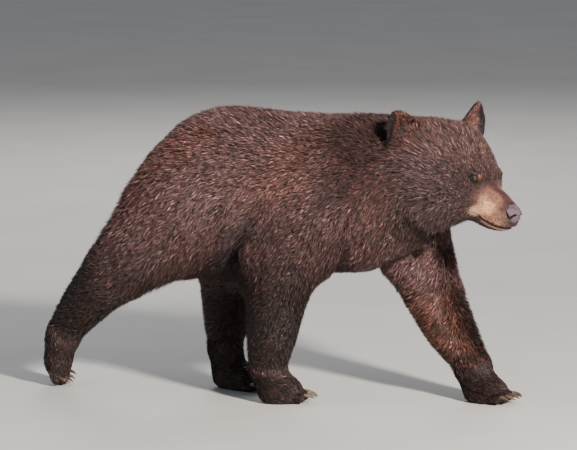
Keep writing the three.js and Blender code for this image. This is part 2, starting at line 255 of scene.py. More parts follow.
def write_tint(mesh: bpy.types.Mesh, tint: np.ndarray) -> None:
    """Writes a colour for each vertex as the attribute that the materials read.

    Args:
        mesh: the mesh.
        tint: linear colours, one a row.
    """
    layer = mesh.attributes.new("tint", "FLOAT_COLOR", "POINT")
    values = np.column_stack([tint, np.ones(len(tint))])
    layer.data.foreach_set("color", values.astype(np.float32).ravel())


def modified(
    mesh: bpy.types.Mesh, kind: str, group: np.ndarray | None = None, **settings: object
) -> bpy.types.Mesh:
    """A mesh with one modifier applied.

    Args:
        mesh: the mesh, which is used up.
        kind: the modifier's type.
        group: a weight for each vertex, where the modifier reads a vertex group.
        settings: the modifier's settings.

    Returns:
        The new mesh.
    """
    thing = new_object("work", mesh)
    modifier = thing.modifiers.new("work", kind)
    for name, value in settings.items():
        setattr(modifier, name, value)
    if group is not None:
        layer = thing.vertex_groups.new(name="group")
        for level in np.unique(group):
            layer.add(np.nonzero(group == level)[0].tolist(), float(level), "REPLACE")
        modifier.vertex_group = layer.name
    graph = bpy.context.evaluated_depsgraph_get()
    result = bpy.data.meshes.new_from_object(thing.evaluated_get(graph))
    bpy.data.objects.remove(thing)
    bpy.data.meshes.remove(mesh)
    return result


def merged_nodes(names: list[str]) -> bpy.types.Mesh:
    """Copies of CAD nodes in one mesh, each one's loose triangles merged.

    Args:
        names: the nodes.

    Returns:
        The new mesh.
    """
    whole = bmesh.new()
    for name in names:
        whole.from_mesh(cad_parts[name].data)
    bmesh.ops.remove_doubles(whole, verts=whole.verts, dist=MERGE)
    return from_bmesh("flesh", whole)


def middle_of(node: str) -> Vector:
    """The middle of a node's box."""
    return sum(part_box(node), Vector()) / 2


class Surface:
    """A mesh as arrays: its points, normals, triangles and neighbours."""

    def __init__(self, mesh: bpy.types.Mesh) -> None:
        """Reads the mesh.

        Args:
            mesh: the mesh, which stays attached.
        """
        self.mesh = mesh
        self.points = read(mesh.vertices, "co", 3).astype(float)
        self.normals = read(mesh.vertex_normals, "vector", 3).astype(float)
        edges = read(mesh.edges, "vertices", 2, np.int32)
        ends = np.concatenate([edges, edges[:, ::-1]])
        ends = ends[np.argsort(ends[:, 0], kind="stable")]
        self.near = ends[:, 1]
        self.starts = np.searchsorted(ends[:, 0], np.arange(len(self.points)))
        self.counts = np.bincount(ends[:, 0], minlength=len(self.points))[:, None]

    def around(self, values: np.ndarray) -> np.ndarray:
        """The mean of each vertex's neighbours."""
        return np.add.reduceat(values[self.near], self.starts, axis=0) / self.counts

    def spread(self, values: np.ndarray, rounds: int, rate: float | np.ndarray = 0.5) -> np.ndarray:
        """Values run into their neighbours'.

        Args:
            values: one row or number a vertex.
            rounds: how many times.
            rate: how far each vertex moves towards its neighbours each time.

        Returns:
            The smoothed values.
        """
        flat = values.ndim == 1
        values = values[:, None] if flat else values
        rate = np.asarray(rate, float).reshape(-1, 1)
        for _ in range(rounds):
            values = values + rate * (self.around(values) - values)
        return values[:, 0] if flat else values

    def move(self, points: np.ndarray) -> None:
        """Puts the vertices at new points and reads the normals again.

        Args:
            points: the new points, one a row.
        """
        self.mesh.vertices.foreach_set("co", points.astype(np.float32).ravel())
        self.mesh.update()
        self.points = points
        self.normals = read(self.mesh.vertex_normals, "vector", 3).astype(float)

    def largest(self) -> bpy.types.Mesh:
        """The mesh with only its largest connected part.

        Returns:
            The same mesh if it is in one part, and otherwise a new one.
        """
        labels = np.arange(len(self.points))
        while True:
            lowest = np.minimum(labels, np.minimum.reduceat(labels[self.near], self.starts))
            lowest = lowest[lowest]
            if np.array_equal(lowest, labels):
                break
            labels = lowest
        keep = np.bincount(labels).argmax()
        if (labels == keep).all():
            return self.mesh
        shape = to_bmesh(self.mesh)
        shape.verts.ensure_lookup_table()
        extra = [shape.verts[i] for i in np.nonzero(labels != keep)[0]]
        bmesh.ops.delete(shape, geom=extra, context="VERTS")
        return from_bmesh("flesh", shape)


# ---- The head's own frame -----------------------------------------------------------------------


@dataclass
class HeadFrame:
    """The head's own axes, in millimetres: X to the nose, Y to its left, Z out of the crown."""

    eye_x: float = 50.0
    eye_z: float = 1.0
    nose_drop: float = math.radians(27.9)  # from X down to the line between the eyes and the nose

    def __post_init__(self) -> None:
        """Finds the axes from the eyes' and the nose's boxes."""
        right, left, nose = (middle_of(n) for n in ("eye_right", "eye_left", "nose"))
        across = (left - right).normalized()
        middle = (left + right) / 2
        ahead = nose - middle
        ahead = (ahead - ahead.project(across)).normalized()
        ahead = Matrix.Rotation(-self.nose_drop, 3, across) @ ahead
        up = ahead.cross(across)
        self.axes = np.array([ahead, across, up])
        self.origin = np.array(middle) - (self.eye_x * self.axes[0] + self.eye_z * self.axes[2]) * MM

    def local(self, points: np.ndarray) -> np.ndarray:
        """World points in the head's frame."""
        return (points - self.origin) @ self.axes.T / MM

    def node(self, name: str) -> np.ndarray:
        """The middle of a node's box in the head's frame."""
        return self.local(np.array(middle_of(name))[None])[0]

    def turned(self, ways: np.ndarray) -> np.ndarray:
        """Directions of the head's frame in the world's."""
        return np.asarray(ways, float) @ self.axes

    def world(self, points: np.ndarray) -> np.ndarray:
        """Points of the head's frame in the world's."""
        return self.turned(points) * MM + self.origin


HEAD = HeadFrame()
NOSE_MIDDLE = HEAD.node("nose") + (-1, 0, -4)
NOSE_RADII = (22.5, 23.5, 20.0)


def from_nose(places: np.ndarray, height: float) -> np.ndarray:
    """How far places lie from the nose pad's middle, one being its surface.

    Args:
        places: points of the head's frame.
        height: the pad's half height here, in millimetres.

    Returns:
        One number a point.
    """
    return np.linalg.norm((places - NOSE_MIDDLE) / (*NOSE_RADII[:2], height), axis=1)


def ear_axes(name: str) -> tuple[np.ndarray, np.ndarray, np.ndarray]:
    """An ear's root, its run from root to tip and the way across it, in the head's frame.

    Args:
        name: the ear's node.

    Returns:
        A point in millimetres and two unit vectors.
    """
    middle = HEAD.node(name)
    root = middle + (10, -14 * Side.of(name).sign, -42)
    run = unit((middle - root)[None])[0]
    across = unit(np.cross(run, (1.0, 0.0, 0.0))[None])[0]
    return root, run, across


# ---- What grows where ---------------------------------------------------------------------------


@dataclass(frozen=True)
class Growth:
    """How the coat grows on one part of the body. Lengths are in millimetres."""

    depth: float  # from the skin to the tips
    length: float  # of a tuft along its run
    width: float
    spacing: float  # between roots
    clump: float  # how far tips are drawn together, from 0 to 1
    scatter: float  # how far tufts stray from the lie, in radians
    easing: float  # how fast the solids' facets are smoothed out


GROWTH: dict[str, Growth] = {
    "trunk": Growth(17, 21, 1.4, 1.86, 0.36, 0.28, 0.5),
    "neck": Growth(18, 24, 1.4, 1.86, 0.44, 0.3, 0.5),
    "tail": Growth(9, 34, 1.6, 2.0, 0.5, 0.28, 0.2),
    "upper_arm": Growth(16, 21, 1.4, 1.88, 0.38, 0.3, 0.45),
    "forearm": Growth(11, 21, 1.5, 1.86, 0.55, 0.34, 0.3),
    "thigh": Growth(17, 22, 1.4, 1.9, 0.42, 0.3, 0.45),
    "shank": Growth(12, 22, 1.5, 1.86, 0.55, 0.34, 0.3),
    "head": Growth(9, 18, 1.2, 1.55, 0.4, 0.28, 0.09),
    "jaw": Growth(2.4, 6, 0.95, 1.25, 0.2, 0.25, 0.06),
    "ear": Growth(2.4, 13, 1.15, 1.4, 0.6, 0.38, 0.03),
    "front_paw": Growth(4.5, 14, 1.4, 1.7, 0.5, 0.34, 0.045),
    "hind_paw": Growth(4.5, 14, 1.4, 1.7, 0.5, 0.34, 0.045),
}


def kind_of(node: str) -> str:
    """A flesh node's name without its side."""
    return node.removesuffix("_right").removesuffix("_left")


class Anatomy:
    """Which CAD node each point of the skin belongs to, and how the coat grows on each."""

    def __init__(self) -> None:
        """Collects the flesh nodes."""
        self.names = sorted(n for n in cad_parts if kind_of(n) in GROWTH)
        points, faces, owners = [], [], []
        for i, name in enumerate(self.names):
            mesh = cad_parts[name].data
            first = len(points)
            points += [v.co.copy() for v in mesh.vertices]
            faces += [tuple(first + v for v in p.vertices) for p in mesh.polygons]
            owners += [i] * len(mesh.polygons)
        self.tree = BVHTree.FromPolygons(points, faces)
        self.owners = np.array(owners)

    def nodes_at(self, points: np.ndarray) -> np.ndarray:
        """The number of the nearest node to each point."""
        found = [self.tree.find_nearest(p)[2] for p in points.tolist()]
        return self.owners[found]

    def number(self, name: str) -> int:
        """A node's number."""
        return self.names.index(name)

    def values(self, at: np.ndarray, name: str) -> np.ndarray:
        """One figure of each point's growth."""
        table = np.array([getattr(GROWTH[kind_of(n)], name) for n in self.names])
        return table[at]

    def share(self, at: np.ndarray, *kinds: str) -> np.ndarray:
        """One for points on nodes of these names or kinds, and zero for the rest."""
        table = np.array([float(n in kinds or kind_of(n) in kinds) for n in self.names])
        return table[at]


@dataclass(frozen=True)
class Crease:
    """A fold where one part of the body meets another."""

    parts: tuple[str, ...]
    others: tuple[str, ...]
    amount: float
    top: float  # the height where it begins
    full: float  # the height where it is full


CREASES: tuple[Crease, ...] = (
    Crease(("head", "jaw"), ("neck",), 0.35, 0.64, 0.56),
    Crease(("upper_arm", "forearm"), ("trunk",), 1.0, 0.52, 0.44),
    Crease(("upper_arm",), ("neck",), 0.45, 0.60, 0.52),
    Crease(("thigh",), ("trunk",), 0.6, 0.48, 0.42),
)


def creases(anatomy: Anatomy, at: np.ndarray, surface: Surface, rounds: int) -> np.ndarray:
    """The folds where the limbs and the head meet the body.

    Args:
        anatomy: the CAD nodes.
        at: the node of each vertex.
        surface: the vertices.
        rounds: how widely the folds spread.

    Returns:
        One in a fold's middle and zero away from it.
    """
    total = np.zeros(len(at))
    for crease in CREASES:
        here, there = (
            surface.spread(anatomy.share(at, *kinds), rounds) for kinds in (crease.parts, crease.others)
        )
        low = ramp(surface.points[:, 2], crease.top, crease.full)
        total = np.maximum(total, crease.amount * 4 * here * there * low)  # 4: each is a half there
    return total


def axis_of(node: str) -> tuple[np.ndarray, np.ndarray]:
    """The line down a limb's node.

    Args:
        node: the node's name.

    Returns:
        The middle of its upper end and the middle of its lower end.
    """
    points = read(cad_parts[node].data.vertices, "co", 3).astype(float)
    low, high = np.quantile(points[:, 2], (0.2, 0.8))
    upper = points[points[:, 2] >= high].mean(0)
    lower = points[points[:, 2] <= low].mean(0)
    return upper, lower


# ---- The skin -----------------------------------------------------------------------------------


@dataclass
class EyeSocket:
    """The lids round one eye, as rings bridged into the skin. Millimetres."""

    side: Side
    ball_radius: float = 10.5
    gaze: tuple[float, float, float] = (0.62, 0.78, 0.06)
    half_width: float = 9.0
    half_height: float = 5.6
    tilt: float = math.radians(12)  # the inner corner lies lower
    hole: tuple[float, float] = (17.0, 15.0)  # half the width and height of the cut in the skin
    reach: float = 30.0  # how far in front of and behind the eye's middle the skin is cut
    segments: int = 48
    lids: tuple[tuple[float, float, float], ...] = (
        (1.72, 2.2, 0.80),
        (1.52, 1.9, 0.45),
        (1.36, 1.5, 0.12),
        (1.24, 2.5, 0.0),
        (1.12, 2.6, 0.0),
        (1.03, 2.1, 0.0),
        (1.0, 1.2, 0.0),
        (0.99, 0.2, 0.0),
        (0.98, -1.6, 0.0),
    )  # for each ring, its size in slits, its lift off the ball and its share of the hole's edge

    def __post_init__(self) -> None:
        """Finds the eye's own axes: inward along the slit, up, and out along its gaze."""
        gaze = np.array(self.gaze) * (1, self.side.sign, 1)
        gaze /= np.linalg.norm(gaze)
        up = np.array((0.0, 0.0, 1.0)) - gaze[2] * gaze
        up /= np.linalg.norm(up)
        inward = np.cross(gaze, up) * self.side.sign
        turn = self.tilt
        slit = inward * math.cos(turn) - up * math.sin(turn)
        rise = up * math.cos(turn) + inward * math.sin(turn)
        self.axes = np.array([slit, rise, gaze])
        self.centre = HEAD.node(f"eye_{self.side.value}")

    def local(self, points: np.ndarray) -> np.ndarray:
        """World points in the eye's frame, in millimetres."""
        return (HEAD.local(points) - self.centre) @ self.axes.T

    def world(self, points: np.ndarray) -> np.ndarray:
        """Points of the eye's frame in the world's."""
        return HEAD.world(np.asarray(points, float) @ self.axes + self.centre)

    def slit(self, turn: np.ndarray, scale: float) -> np.ndarray:
        """Points round an almond, in the plane of the slit.

        Args:
            turn: how far round each point is, in radians.
            scale: how many times wider than the slit it is.

        Returns:
            The way along and the way up, one point a row.
        """
        x = np.cos(turn)
        y = np.sin(turn)
        inner = np.clip(x, 0, 1)
        height = np.where(y > 0, 1.08, 0.86) * self.half_height * (1 - 0.30 * inner**2)
        drop = 1.6 * inner**4
        return np.stack([self.half_width * x * (1 + 0.10 * inner**3), y * height - drop], 1) * scale

    def rings(self, rim: np.ndarray) -> list[np.ndarray]:
        """The rings from the socket's edge in to the pocket behind the eye's front.

        Args:
            rim: the edge of the hole in the skin, in the eye's frame.

        Returns:
            Rings of points in the eye's frame, outermost first.
        """
        turn = np.arange(self.segments) * 2 * math.pi / self.segments
        angle = np.arctan2(rim[:, 1], rim[:, 0])
        order = np.argsort(angle)
        edge = np.interp(turn, *self._closed(angle[order], rim[order, 2]))
        rings = []
        for scale, lift, share in self.lids:
            flat = self.slit(turn, scale)
            reach = np.hypot(flat[:, 0], flat[:, 1])
            depth = self._cap(reach, lift) * (1 - share) + edge * share
            if lift > 1:
                depth = np.maximum(depth, self._cap(reach, 1.1))
            rings.append(np.column_stack([flat, depth]))
        return rings

    def _cap(self, reach: np.ndarray, lift: float) -> np.ndarray:
        """How far out a ball `lift` larger than the eye stands, at a distance from the gaze."""
        radius = self.ball_radius + lift
        return np.sqrt(np.maximum(radius**2 - np.minimum(reach, radius * 0.94) ** 2, 0))

    @staticmethod
    def _closed(angles: np.ndarray, values: np.ndarray) -> tuple[np.ndarray, np.ndarray]:
        """A table of values round a circle, repeated a turn before and after."""
        turn = 2 * math.pi
        return np.concatenate([angles - turn, angles, angles + turn]), np.concatenate([values] * 3)

    def fit(self, shape: bmesh.types.BMesh) -> None:
        """Cuts the skin open round the eye and bridges the lids in.

        Args:
            shape: the skin.
        """
        place = self.local(points_of(shape))
        near = np.hypot(place[:, 0] / self.hole[0], place[:, 1] / self.hole[1]) < 1
        near &= np.abs(place[:, 2]) < self.reach
        shape.verts.ensure_lookup_table()
        inside = [shape.verts[i] for i in np.nonzero(near)[0]]
        bmesh.ops.delete(shape, geom=inside, context="VERTS")
        rim = [e for e in shape.edges if e.is_boundary]
        log.info("socket %s: %d edges round the hole", self.side.value, len(rim))
        corners = np.array([v.co for v in dict.fromkeys(v for e in rim for v in e.verts)])
        outer = rim
        for ring in self.rings(self.local(corners)):
            made = bmesh.ops.create_circle(shape, segments=self.segments, radius=1)
            set_points(made["verts"], self.world(ring))
            loop = list(dict.fromkeys(e for v in made["verts"] for e in v.link_edges))
            bmesh.ops.bridge_loops(shape, edges=outer + loop)
            outer = loop
        bmesh.ops.edgeloop_fill(shape, edges=outer)


@dataclass
class Mouth:
    """The closed mouth: its line along the muzzle, its lips and the groove under the nose."""

    line: tuple[tuple[float, float], ...] = (
        (80, -83),
        (92, -87),
        (106, -90),
        (121, -92),
        (136, -93.5),
        (152, -93),
        (168, -90),
    )
    groove: float = 5.0
    lip: float = 1.6  # how far the upper lip swells, and how deep the groove under the nose is
    lower_lip: float = 0.8

    def above(self, place: np.ndarray) -> np.ndarray:
        """How far points of the head's frame lie above the mouth's line."""
        xs, zs = zip(*self.line)
        return place[:, 2] - np.interp(place[:, 0], xs, zs)

    def near(self, place: np.ndarray) -> np.ndarray:
        """One along the mouth, and zero behind its corner."""
        corner = self.line[0][0]
        return ramp(place[:, 0], corner - 4, corner + 8)

    def press(self, surface: Surface) -> None:
        """Presses the mouth's line into the skin and swells the lips.

        Args:
            surface: the skin, which is moved.
        """
        place = HEAD.local(surface.points)
        above = self.above(place)
        out = bump(above, 6.5, 4) * self.lip - bump(above, 0.5, 2.6) * self.groove
        out = out + bump(above, -5, 3) * self.lower_lip
        under_nose = ramp(place[:, 0], 158, 166) * ramp(above, 0, 3) * bump(place[:, 1], 0, 1.5)
        out = out * self.near(place) - under_nose * self.lip
        muzzle = ramp(place[:, 0], 80, 90)
        surface.move(surface.points + surface.normals * (out * muzzle * MM)[:, None])


@dataclass
class Skin:
    """One skin for every node of flesh, inside the solids by the coat's depth."""

    first_voxel: float = 3.0 * MM
    voxel: float = 2.6 * MM
    easing_rounds: int = 60  # rounds of smoothing for the solids' facets
    depth_rounds: int = 50  # and for the steps in the coat's depth
    crease_rounds: int = 44
    face_edge: float = 1.9 * MM  # the muzzle's longer edges are split
    limit: int = 125000  # triangles, before the face is refined
    fold: float = 9.0  # how deep the creases are, in millimetres
    mouth: Mouth = field(default_factory=Mouth)
    sockets: tuple[EyeSocket, ...] = (EyeSocket(Side.RIGHT), EyeSocket(Side.LEFT))

    def build(self, anatomy: Anatomy) -> bpy.types.Mesh:
        """Makes the skin's mesh.

        Args:
            anatomy: the CAD nodes.

        Returns:
            The mesh, in triangles.
        """
        mesh = merged_nodes([*anatomy.names, "nose", "eye_right", "eye_left"])
        surface = self._remeshed(mesh, self.first_voxel)
        at = anatomy.nodes_at(surface.points)
        easing = surface.spread(anatomy.values(at, "easing"), 12)
        surface.move(surface.spread(surface.points, self.easing_rounds, easing))
        inset = surface.spread(Coat.depth_at(anatomy, at, surface), self.depth_rounds)
        inset = inset + self.fold * creases(anatomy, at, surface, self.crease_rounds)
        surface.move(surface.points - surface.normals * (inset * MM)[:, None])
        surface = self._remeshed(surface.mesh, self.voxel)
        surface.move(surface.spread(surface.points, 3))
        mesh = self._thinned(surface, anatomy)
        mesh = self._face(mesh)
        log.info("skin: %d triangles", len(mesh.polygons))
        return mesh

    @staticmethod
    def _remeshed(mesh: bpy.types.Mesh, voxel: float) -> Surface:
        """One closed surface round a mesh, which is used up."""
        return Surface(Surface(modified(mesh, "REMESH", mode="VOXEL", voxel_size=voxel)).largest())

    def _thinned(self, surface: Surface, anatomy: Anatomy) -> bpy.types.Mesh:
        """The skin with fewer triangles away from the head and feet.

        Args:
            surface: the skin, whose mesh is used up.
            anatomy: the CAD nodes.

        Returns:
            The new mesh.
        """
        at = anatomy.nodes_at(surface.points)
        fine = anatomy.share(at, "head", "jaw", "ear", "front_paw", "hind_paw")
        fine *= 1 - anatomy.share(at, "head") * ramp(HEAD.local(surface.points)[:, 0], -20, -50)
        ratio = self.limit / (2 * len(surface.mesh.polygons))
        return modified(
            surface.mesh,
            "DECIMATE",
            group=np.round(1 - fine),
            ratio=ratio,
            vertex_group_factor=0.02,
            use_collapse_triangulate=True,
        )

    def _face(self, mesh: bpy.types.Mesh) -> bpy.types.Mesh:
        """The skin with finer triangles on the muzzle, the mouth pressed in and the lids fitted.

        Args:
            mesh: the skin, which is used up.

        Returns:
            The new mesh.
        """
        shape = to_bmesh(mesh)
        bpy.data.meshes.remove(mesh)
        ahead = HEAD.local(points_of(shape))[:, 0]
        face = (ahead > 76) & (ahead < 200)
        edges = [e for e in shape.edges if face[e.verts[0].index] and face[e.verts[1].index]]
        edges = [e for e in edges if e.calc_length() > self.face_edge]
        bmesh.ops.subdivide_edges(shape, edges=edges, cuts=1, use_grid_fill=False)
        bmesh.ops.triangulate(shape, faces=shape.faces)
        fresh = from_bmesh("skin", shape)
        surface = Surface(fresh)
        front = ramp(HEAD.local(surface.points)[:, 0], 70, 84)
        surface.move(surface.spread(surface.points, 6, front * 0.5))
        self._shape_face(surface)
        self._shape_ears(surface)
        self.mouth.press(surface)
        shape = to_bmesh(fresh)
        bpy.data.meshes.remove(fresh)
        for socket in self.sockets:
            socket.fit(shape)
        bmesh.ops.triangulate(shape, faces=shape.faces)
        bmesh.ops.recalc_face_normals(shape, faces=shape.faces)
        return from_bmesh("skin", shape)

    @staticmethod
    def _shape_face(surface: Surface) -> None:
        """Shapes the stop between the eyes, the brows, the flat bridge and room for the nose pad.

        Args:
            surface: the skin, which is moved.
        """
        place = HEAD.local(surface.points)
        x, y, z = place.T
        head = ramp(x, 0, 20)
        crown = ramp(surface.normals @ HEAD.axes[2], 0.1, 0.7)
        out = -3.5 * bump(x, 86, 20) * ramp(z, -30, -8) * bump(y, 0, 24)
        out += (3.2 * bump(x, 116, 20) - 4.0 * ramp(x, 130, 152)) * crown
        out += 3.0 * bump(x, 50, 13) * bump(np.abs(y), 37, 12) * bump(z, 17, 10)
        away = from_nose(place, 22)
        past = x - NOSE_MIDDLE[0]
        out += 2.6 * bump(away, 1.12, 0.16) * ramp(past, 12, 0)
        out = out * ramp(away, 0.96, 1.06) - 10.0 * ramp(away, 1.0, 0.88) * ramp(past, -12, 0)
        surface.move(surface.points + surface.normals * (out * head * MM)[:, None])

    @staticmethod
    def _shape_ears(surface: Surface) -> None:
        """Broadens each ear at its base and narrows it to its tip.

        Args:
            surface: the skin, which is moved.
        """
        for side in Side:
            root, run, across = ear_axes(f"ear_{side.value}")
            off = HEAD.local(surface.points) - root
            up, out = off @ run, off @ across
            away = np.linalg.norm(off - up[:, None] * run, axis=1)
            broader = 0.42 * ramp(up, 58, 18) - 0.25 * ramp(up, 54, 84)
            here = ramp(up, -8, 14) * ramp(away, 46, 32)
            surface.move(surface.points + HEAD.turned(across * (out * broader * here)[:, None]) * MM)


# ---- The coat -----------------------------------------------------------------------------------


@dataclass(frozen=True)
class Palette:
    """The coat's colours, and the painted shade laid over them."""

    body: str = "5b413f"
    back: str = "5d4341"
    flank: str = "5d4a4a"
    russet: str = "633a2d"
    # painted shade for the underside, where the body faces down
    belly: str = "130d0c"
    leg: str = "22140f"
    thigh: str = "2b1d1b"
    inner_leg: str = "5f3728"
    # the neck, darker than the body: partly its own colour, partly painted shade of the head
    neck: str = "341e1b"
    # painted shade on the neck behind the ears
    nape: str = "170f0e"
    face: str = "4d3938"
    crown: str = "573e3b"
    muzzle: str = "f0b891"
    corner: str = "d2af90"
    whiskers: str = "977261"
    bridge: str = "976656"
    bridge_top: str = "4a3330"
    # painted shadow of the brows
    dark_patch: str = "33211c"
    spot: str = "bb7a4e"
    lip: str = "1c1415"
    lower_lip: str = "b89a88"
    pink: str = "a0605c"
    ear: str = "63413a"
    # painted shade, bluish black, for the ears' backs and outer edges and the gaps in their hair
    ear_edge: str = "141013"
    sole: str = "241c1b"


class Markings:
    """The coat's colour at each point of the skin, with painted shade, laid on layer by layer."""

    def __init__(self, palette: Palette, coat: "Coat") -> None:
        """Starts with the colour of the body everywhere.

        Args:
            palette: the colours.
            coat: the skin's fields.
        """
        self.of = {name: colour(code) for name, code in vars(palette).items()}
        self.coat = coat
        self.shade = np.tile(self.of["body"], (len(coat.place), 1))

    def lay(self, *layers: tuple[str, np.ndarray]) -> None:
        """Lays colours of the palette on in turn, each by its amount at every vertex."""
        for name, amount in layers:
            self.shade = blend(self.shade, self.of[name], amount)

    def paint(self) -> np.ndarray:
        """The colours of every vertex of the skin.

        Returns:
            One linear colour a row.
        """
        coat, share = self.coat, self.coat.share
        points, facing = coat.surface.points, coat.surface.normals[:, 2]
        along, _, height = points.T
        x, _, z = coat.place.T
        low = ramp(height, 0.52, 0.42) * share("trunk", "tail")
        patches = ramp(waves(points, 0.26, 3), 0.0, 0.9) * share("trunk", "upper_arm", "thigh", "neck")
        # painted shade under the throat and jaw, where they face down
        throat_shade = ramp(facing, 0.0, -0.5) * share("neck", "head") * ramp(x, 40, 0)
        # painted shade where the trunk faces down or lies low
        under = np.maximum(ramp(facing, -0.05, -0.65), ramp(height, 0.40, 0.31))
        breast = ramp(along, 0.04, 0.16)
        # painted shadow that the head casts on the neck behind the jowl
        jowl_shadow = bump(x, -175, 50) * bump(z, -70, 80) + bump(x, -225, 60) * bump(z, 25, 50)
        # where painted shade lies on the neck behind the ear
        behind = bump(x, -72, 30) * bump(z, 10, 34) * share("neck", "head")
        self.lay(
            ("back", ramp(height, 0.50, 0.62)),
            ("flank", low * 0.8),
            ("russet", patches * 0.4),
            # painted shade under the trunk, less towards the breast
            ("belly", under * share("trunk") * (0.9 - 0.6 * breast)),
            # the neck's colour: over the neck partly painted shade, behind the jowl painted shadow, low
            # on the near upper arm darker towards the bottom
            ("neck", share("neck") * 0.9),
            ("neck", np.clip(jowl_shadow, 0, 1) * 0.95),
            ("nape", np.clip(behind, 0, 1) * 0.8),
            ("neck", share("upper_arm_right") * ramp(height, 0.53, 0.38) * 0.7),
        )
        self._legs()
        self._head()
        self._mouth()
        self._eyes()
        self._ears()
        # the bare soles, then painted shade under the throat
        self.lay(("sole", coat.sole), ("belly", throat_shade * 0.45))
        # painted shade in the creases where the limbs and the head meet the body
        return self.shade * (1 - 0.5 * np.clip(coat.crease, 0, 1))[:, None]

    def _legs(self) -> None:
        """Dark legs and feet, partly painted shade up the far hind leg; red inside the leading leg."""
        coat, share = self.coat, self.coat.share
        height = coat.surface.points[:, 2]
        leading = share("forearm_left")
        inner = ramp(coat.surface.normals[:, 1], 0.15, -0.35)
        ahead = ramp(coat.surface.normals[:, 0], 0.55, 0.85)
        self.lay(("inner_leg", leading * inner * ramp(height, 0.34, 0.26) * 0.8))
        streak = waves(coat.surface.points * (1, 1, 0.5), 0.03, 41) * leading * inner
        self.shade = self.shade * np.exp(0.45 * streak)[:, None]
        right = share("upper_arm_right", "forearm_right") * ramp(height, 0.41, 0.25)
        left = share("forearm_left", "upper_arm_left") * ramp(height, 0.34, 0.16)
        left = left * (1 - 0.75 * inner * (1 - ahead) * ramp(height, 0.09, 0.15))
        hind = np.maximum(share("thigh_right") * ramp(height, 0.36, 0.24), share("shank_right"))
        # the far hind leg dark from higher up than the near one: partly its own dark, partly painted
        # shade
        far = np.maximum(share("thigh_left") * ramp(height, 0.46, 0.28), share("shank_left")) * 0.85
        feet = share("front_paw", "hind_paw") * 0.85
        dark = np.max([right, left, hind, far, feet, leading * ahead * 0.9], axis=0)
        self.lay(
            ("thigh", share("thigh_right") * ramp(height, 0.46, 0.30) * 0.8),
            ("leg", np.clip(dark, 0, 1)),
        )

    def _head(self) -> None:
        """The markings of the face, from the forehead to the whiskers."""
        x, y, z = self.coat.place.T
        out = np.abs(y)
        head = self.coat.share("head", "jaw")
        side = ramp(out, 9, 20)

        def oval(middle: tuple[float, float], size: tuple[float, float]) -> np.ndarray:
            """An oval on the side of the head, one within it and zero outside."""
            reach = np.hypot((x - middle[0]) / size[0], (z - middle[1]) / size[1])
            return ramp(reach, 1.4, 0.45) * side * head

        self.lay(
            ("face", head),
            ("crown", head * ramp(z, 10, 50)),
            ("bridge", head * ramp(x, 68, 104) * ramp(x, 150, 134)),
            ("bridge_top", head * ramp(x, 60, 84) * (1 - ramp(out, 6, 18)) * 0.95),
            # painted shadow of the brow, in front of the eyes beside the bridge
            ("dark_patch", head * bump(x, 70, 10) * bump(out, 16, 11) * ramp(z, -14, 2) * 0.8),
            ("bridge", oval((84, -44), (17, 26)) * 0.6),
            ("corner", oval((68, -77), (14, 11)) * 0.7),
            ("corner", oval((88, -46), (11, 18)) * 0.45),
            ("muzzle", oval((108, -56), (20, 17))),
            ("muzzle", oval((84, -68), (20, 11)) * 0.8),
            ("whiskers", oval((136, -72), (20, 20)) * 0.85),
            ("bridge_top", head * bump(x, 142, 9) * ramp(z, -62, -48) * 0.8),
        )

    def _mouth(self) -> None:
        """The dark line of the mouth, with the paler lip under it."""
        coat = self.coat
        x = coat.place[:, 0]
        above = coat.mouth.above(coat.place)
        lips = coat.mouth.near(coat.place) * coat.share("head", "jaw")
        self.lay(
            ("lip", lips * ramp(above, 2, -2) * ramp(above, -8, -13) * 0.85),
            ("lower_lip", lips * bump(above, -6.5, 2.8) * ramp(x, 84, 96)),
            ("pink", lips * bump(above, -2.5, 2) * ramp(x, 144, 156) * 0.8),
            ("lip", lips * np.clip(1.3 * bump(above, 1.0, 3.4), 0, 1)),
        )

    def _eyes(self) -> None:
        """The dark rims of the eyes, and the pale spot over each one's inner corner."""
        for socket in self.coat.sockets:
            along, up, out = socket.local(self.coat.surface.points).T
            near = (out > -4) & (out < socket.reach)
            rim = ramp(np.hypot((along - 0.8) / 1.4, up / 0.95), 10.0, 7.6)
            tear = bump(up + 0.55 * (along - 8), -3.5, 1.8) * ramp(along, 7, 10) * ramp(along, 24, 15)
            pale = bump(along, 14, 4.4) * bump(up, 6, 4.2)
            seen = 0.9 if socket.side is Side.RIGHT else 0.3
            self.lay(("lip", near * np.clip(rim + 0.8 * tear, 0, 1)), ("spot", near * pale * seen))

    def _ears(self) -> None:
        """Brown hair in front of the ears, with painted shade in its gaps, on their backs and edges."""
        coat = self.coat
        ear = coat.share("ear")
        # painted shade in the gaps between the hairs on and in front of the ears
        gaps = ramp(waves(coat.surface.points, 0.012, 31), 0.2, -0.6) * 0.7
        self.lay(
            ("ear", np.clip(ear * coat.ear_front + coat.ear_root * 0.8, 0, 1)),
            ("ear_edge", np.clip(coat.ear_root + 0.3 * ear, 0, 1) * gaps),
            # painted shade on the backs of the ears and their outer thirds
            ("ear_edge", ear * np.maximum(1 - coat.ear_front, coat.ear_rim) * 0.9),
        )


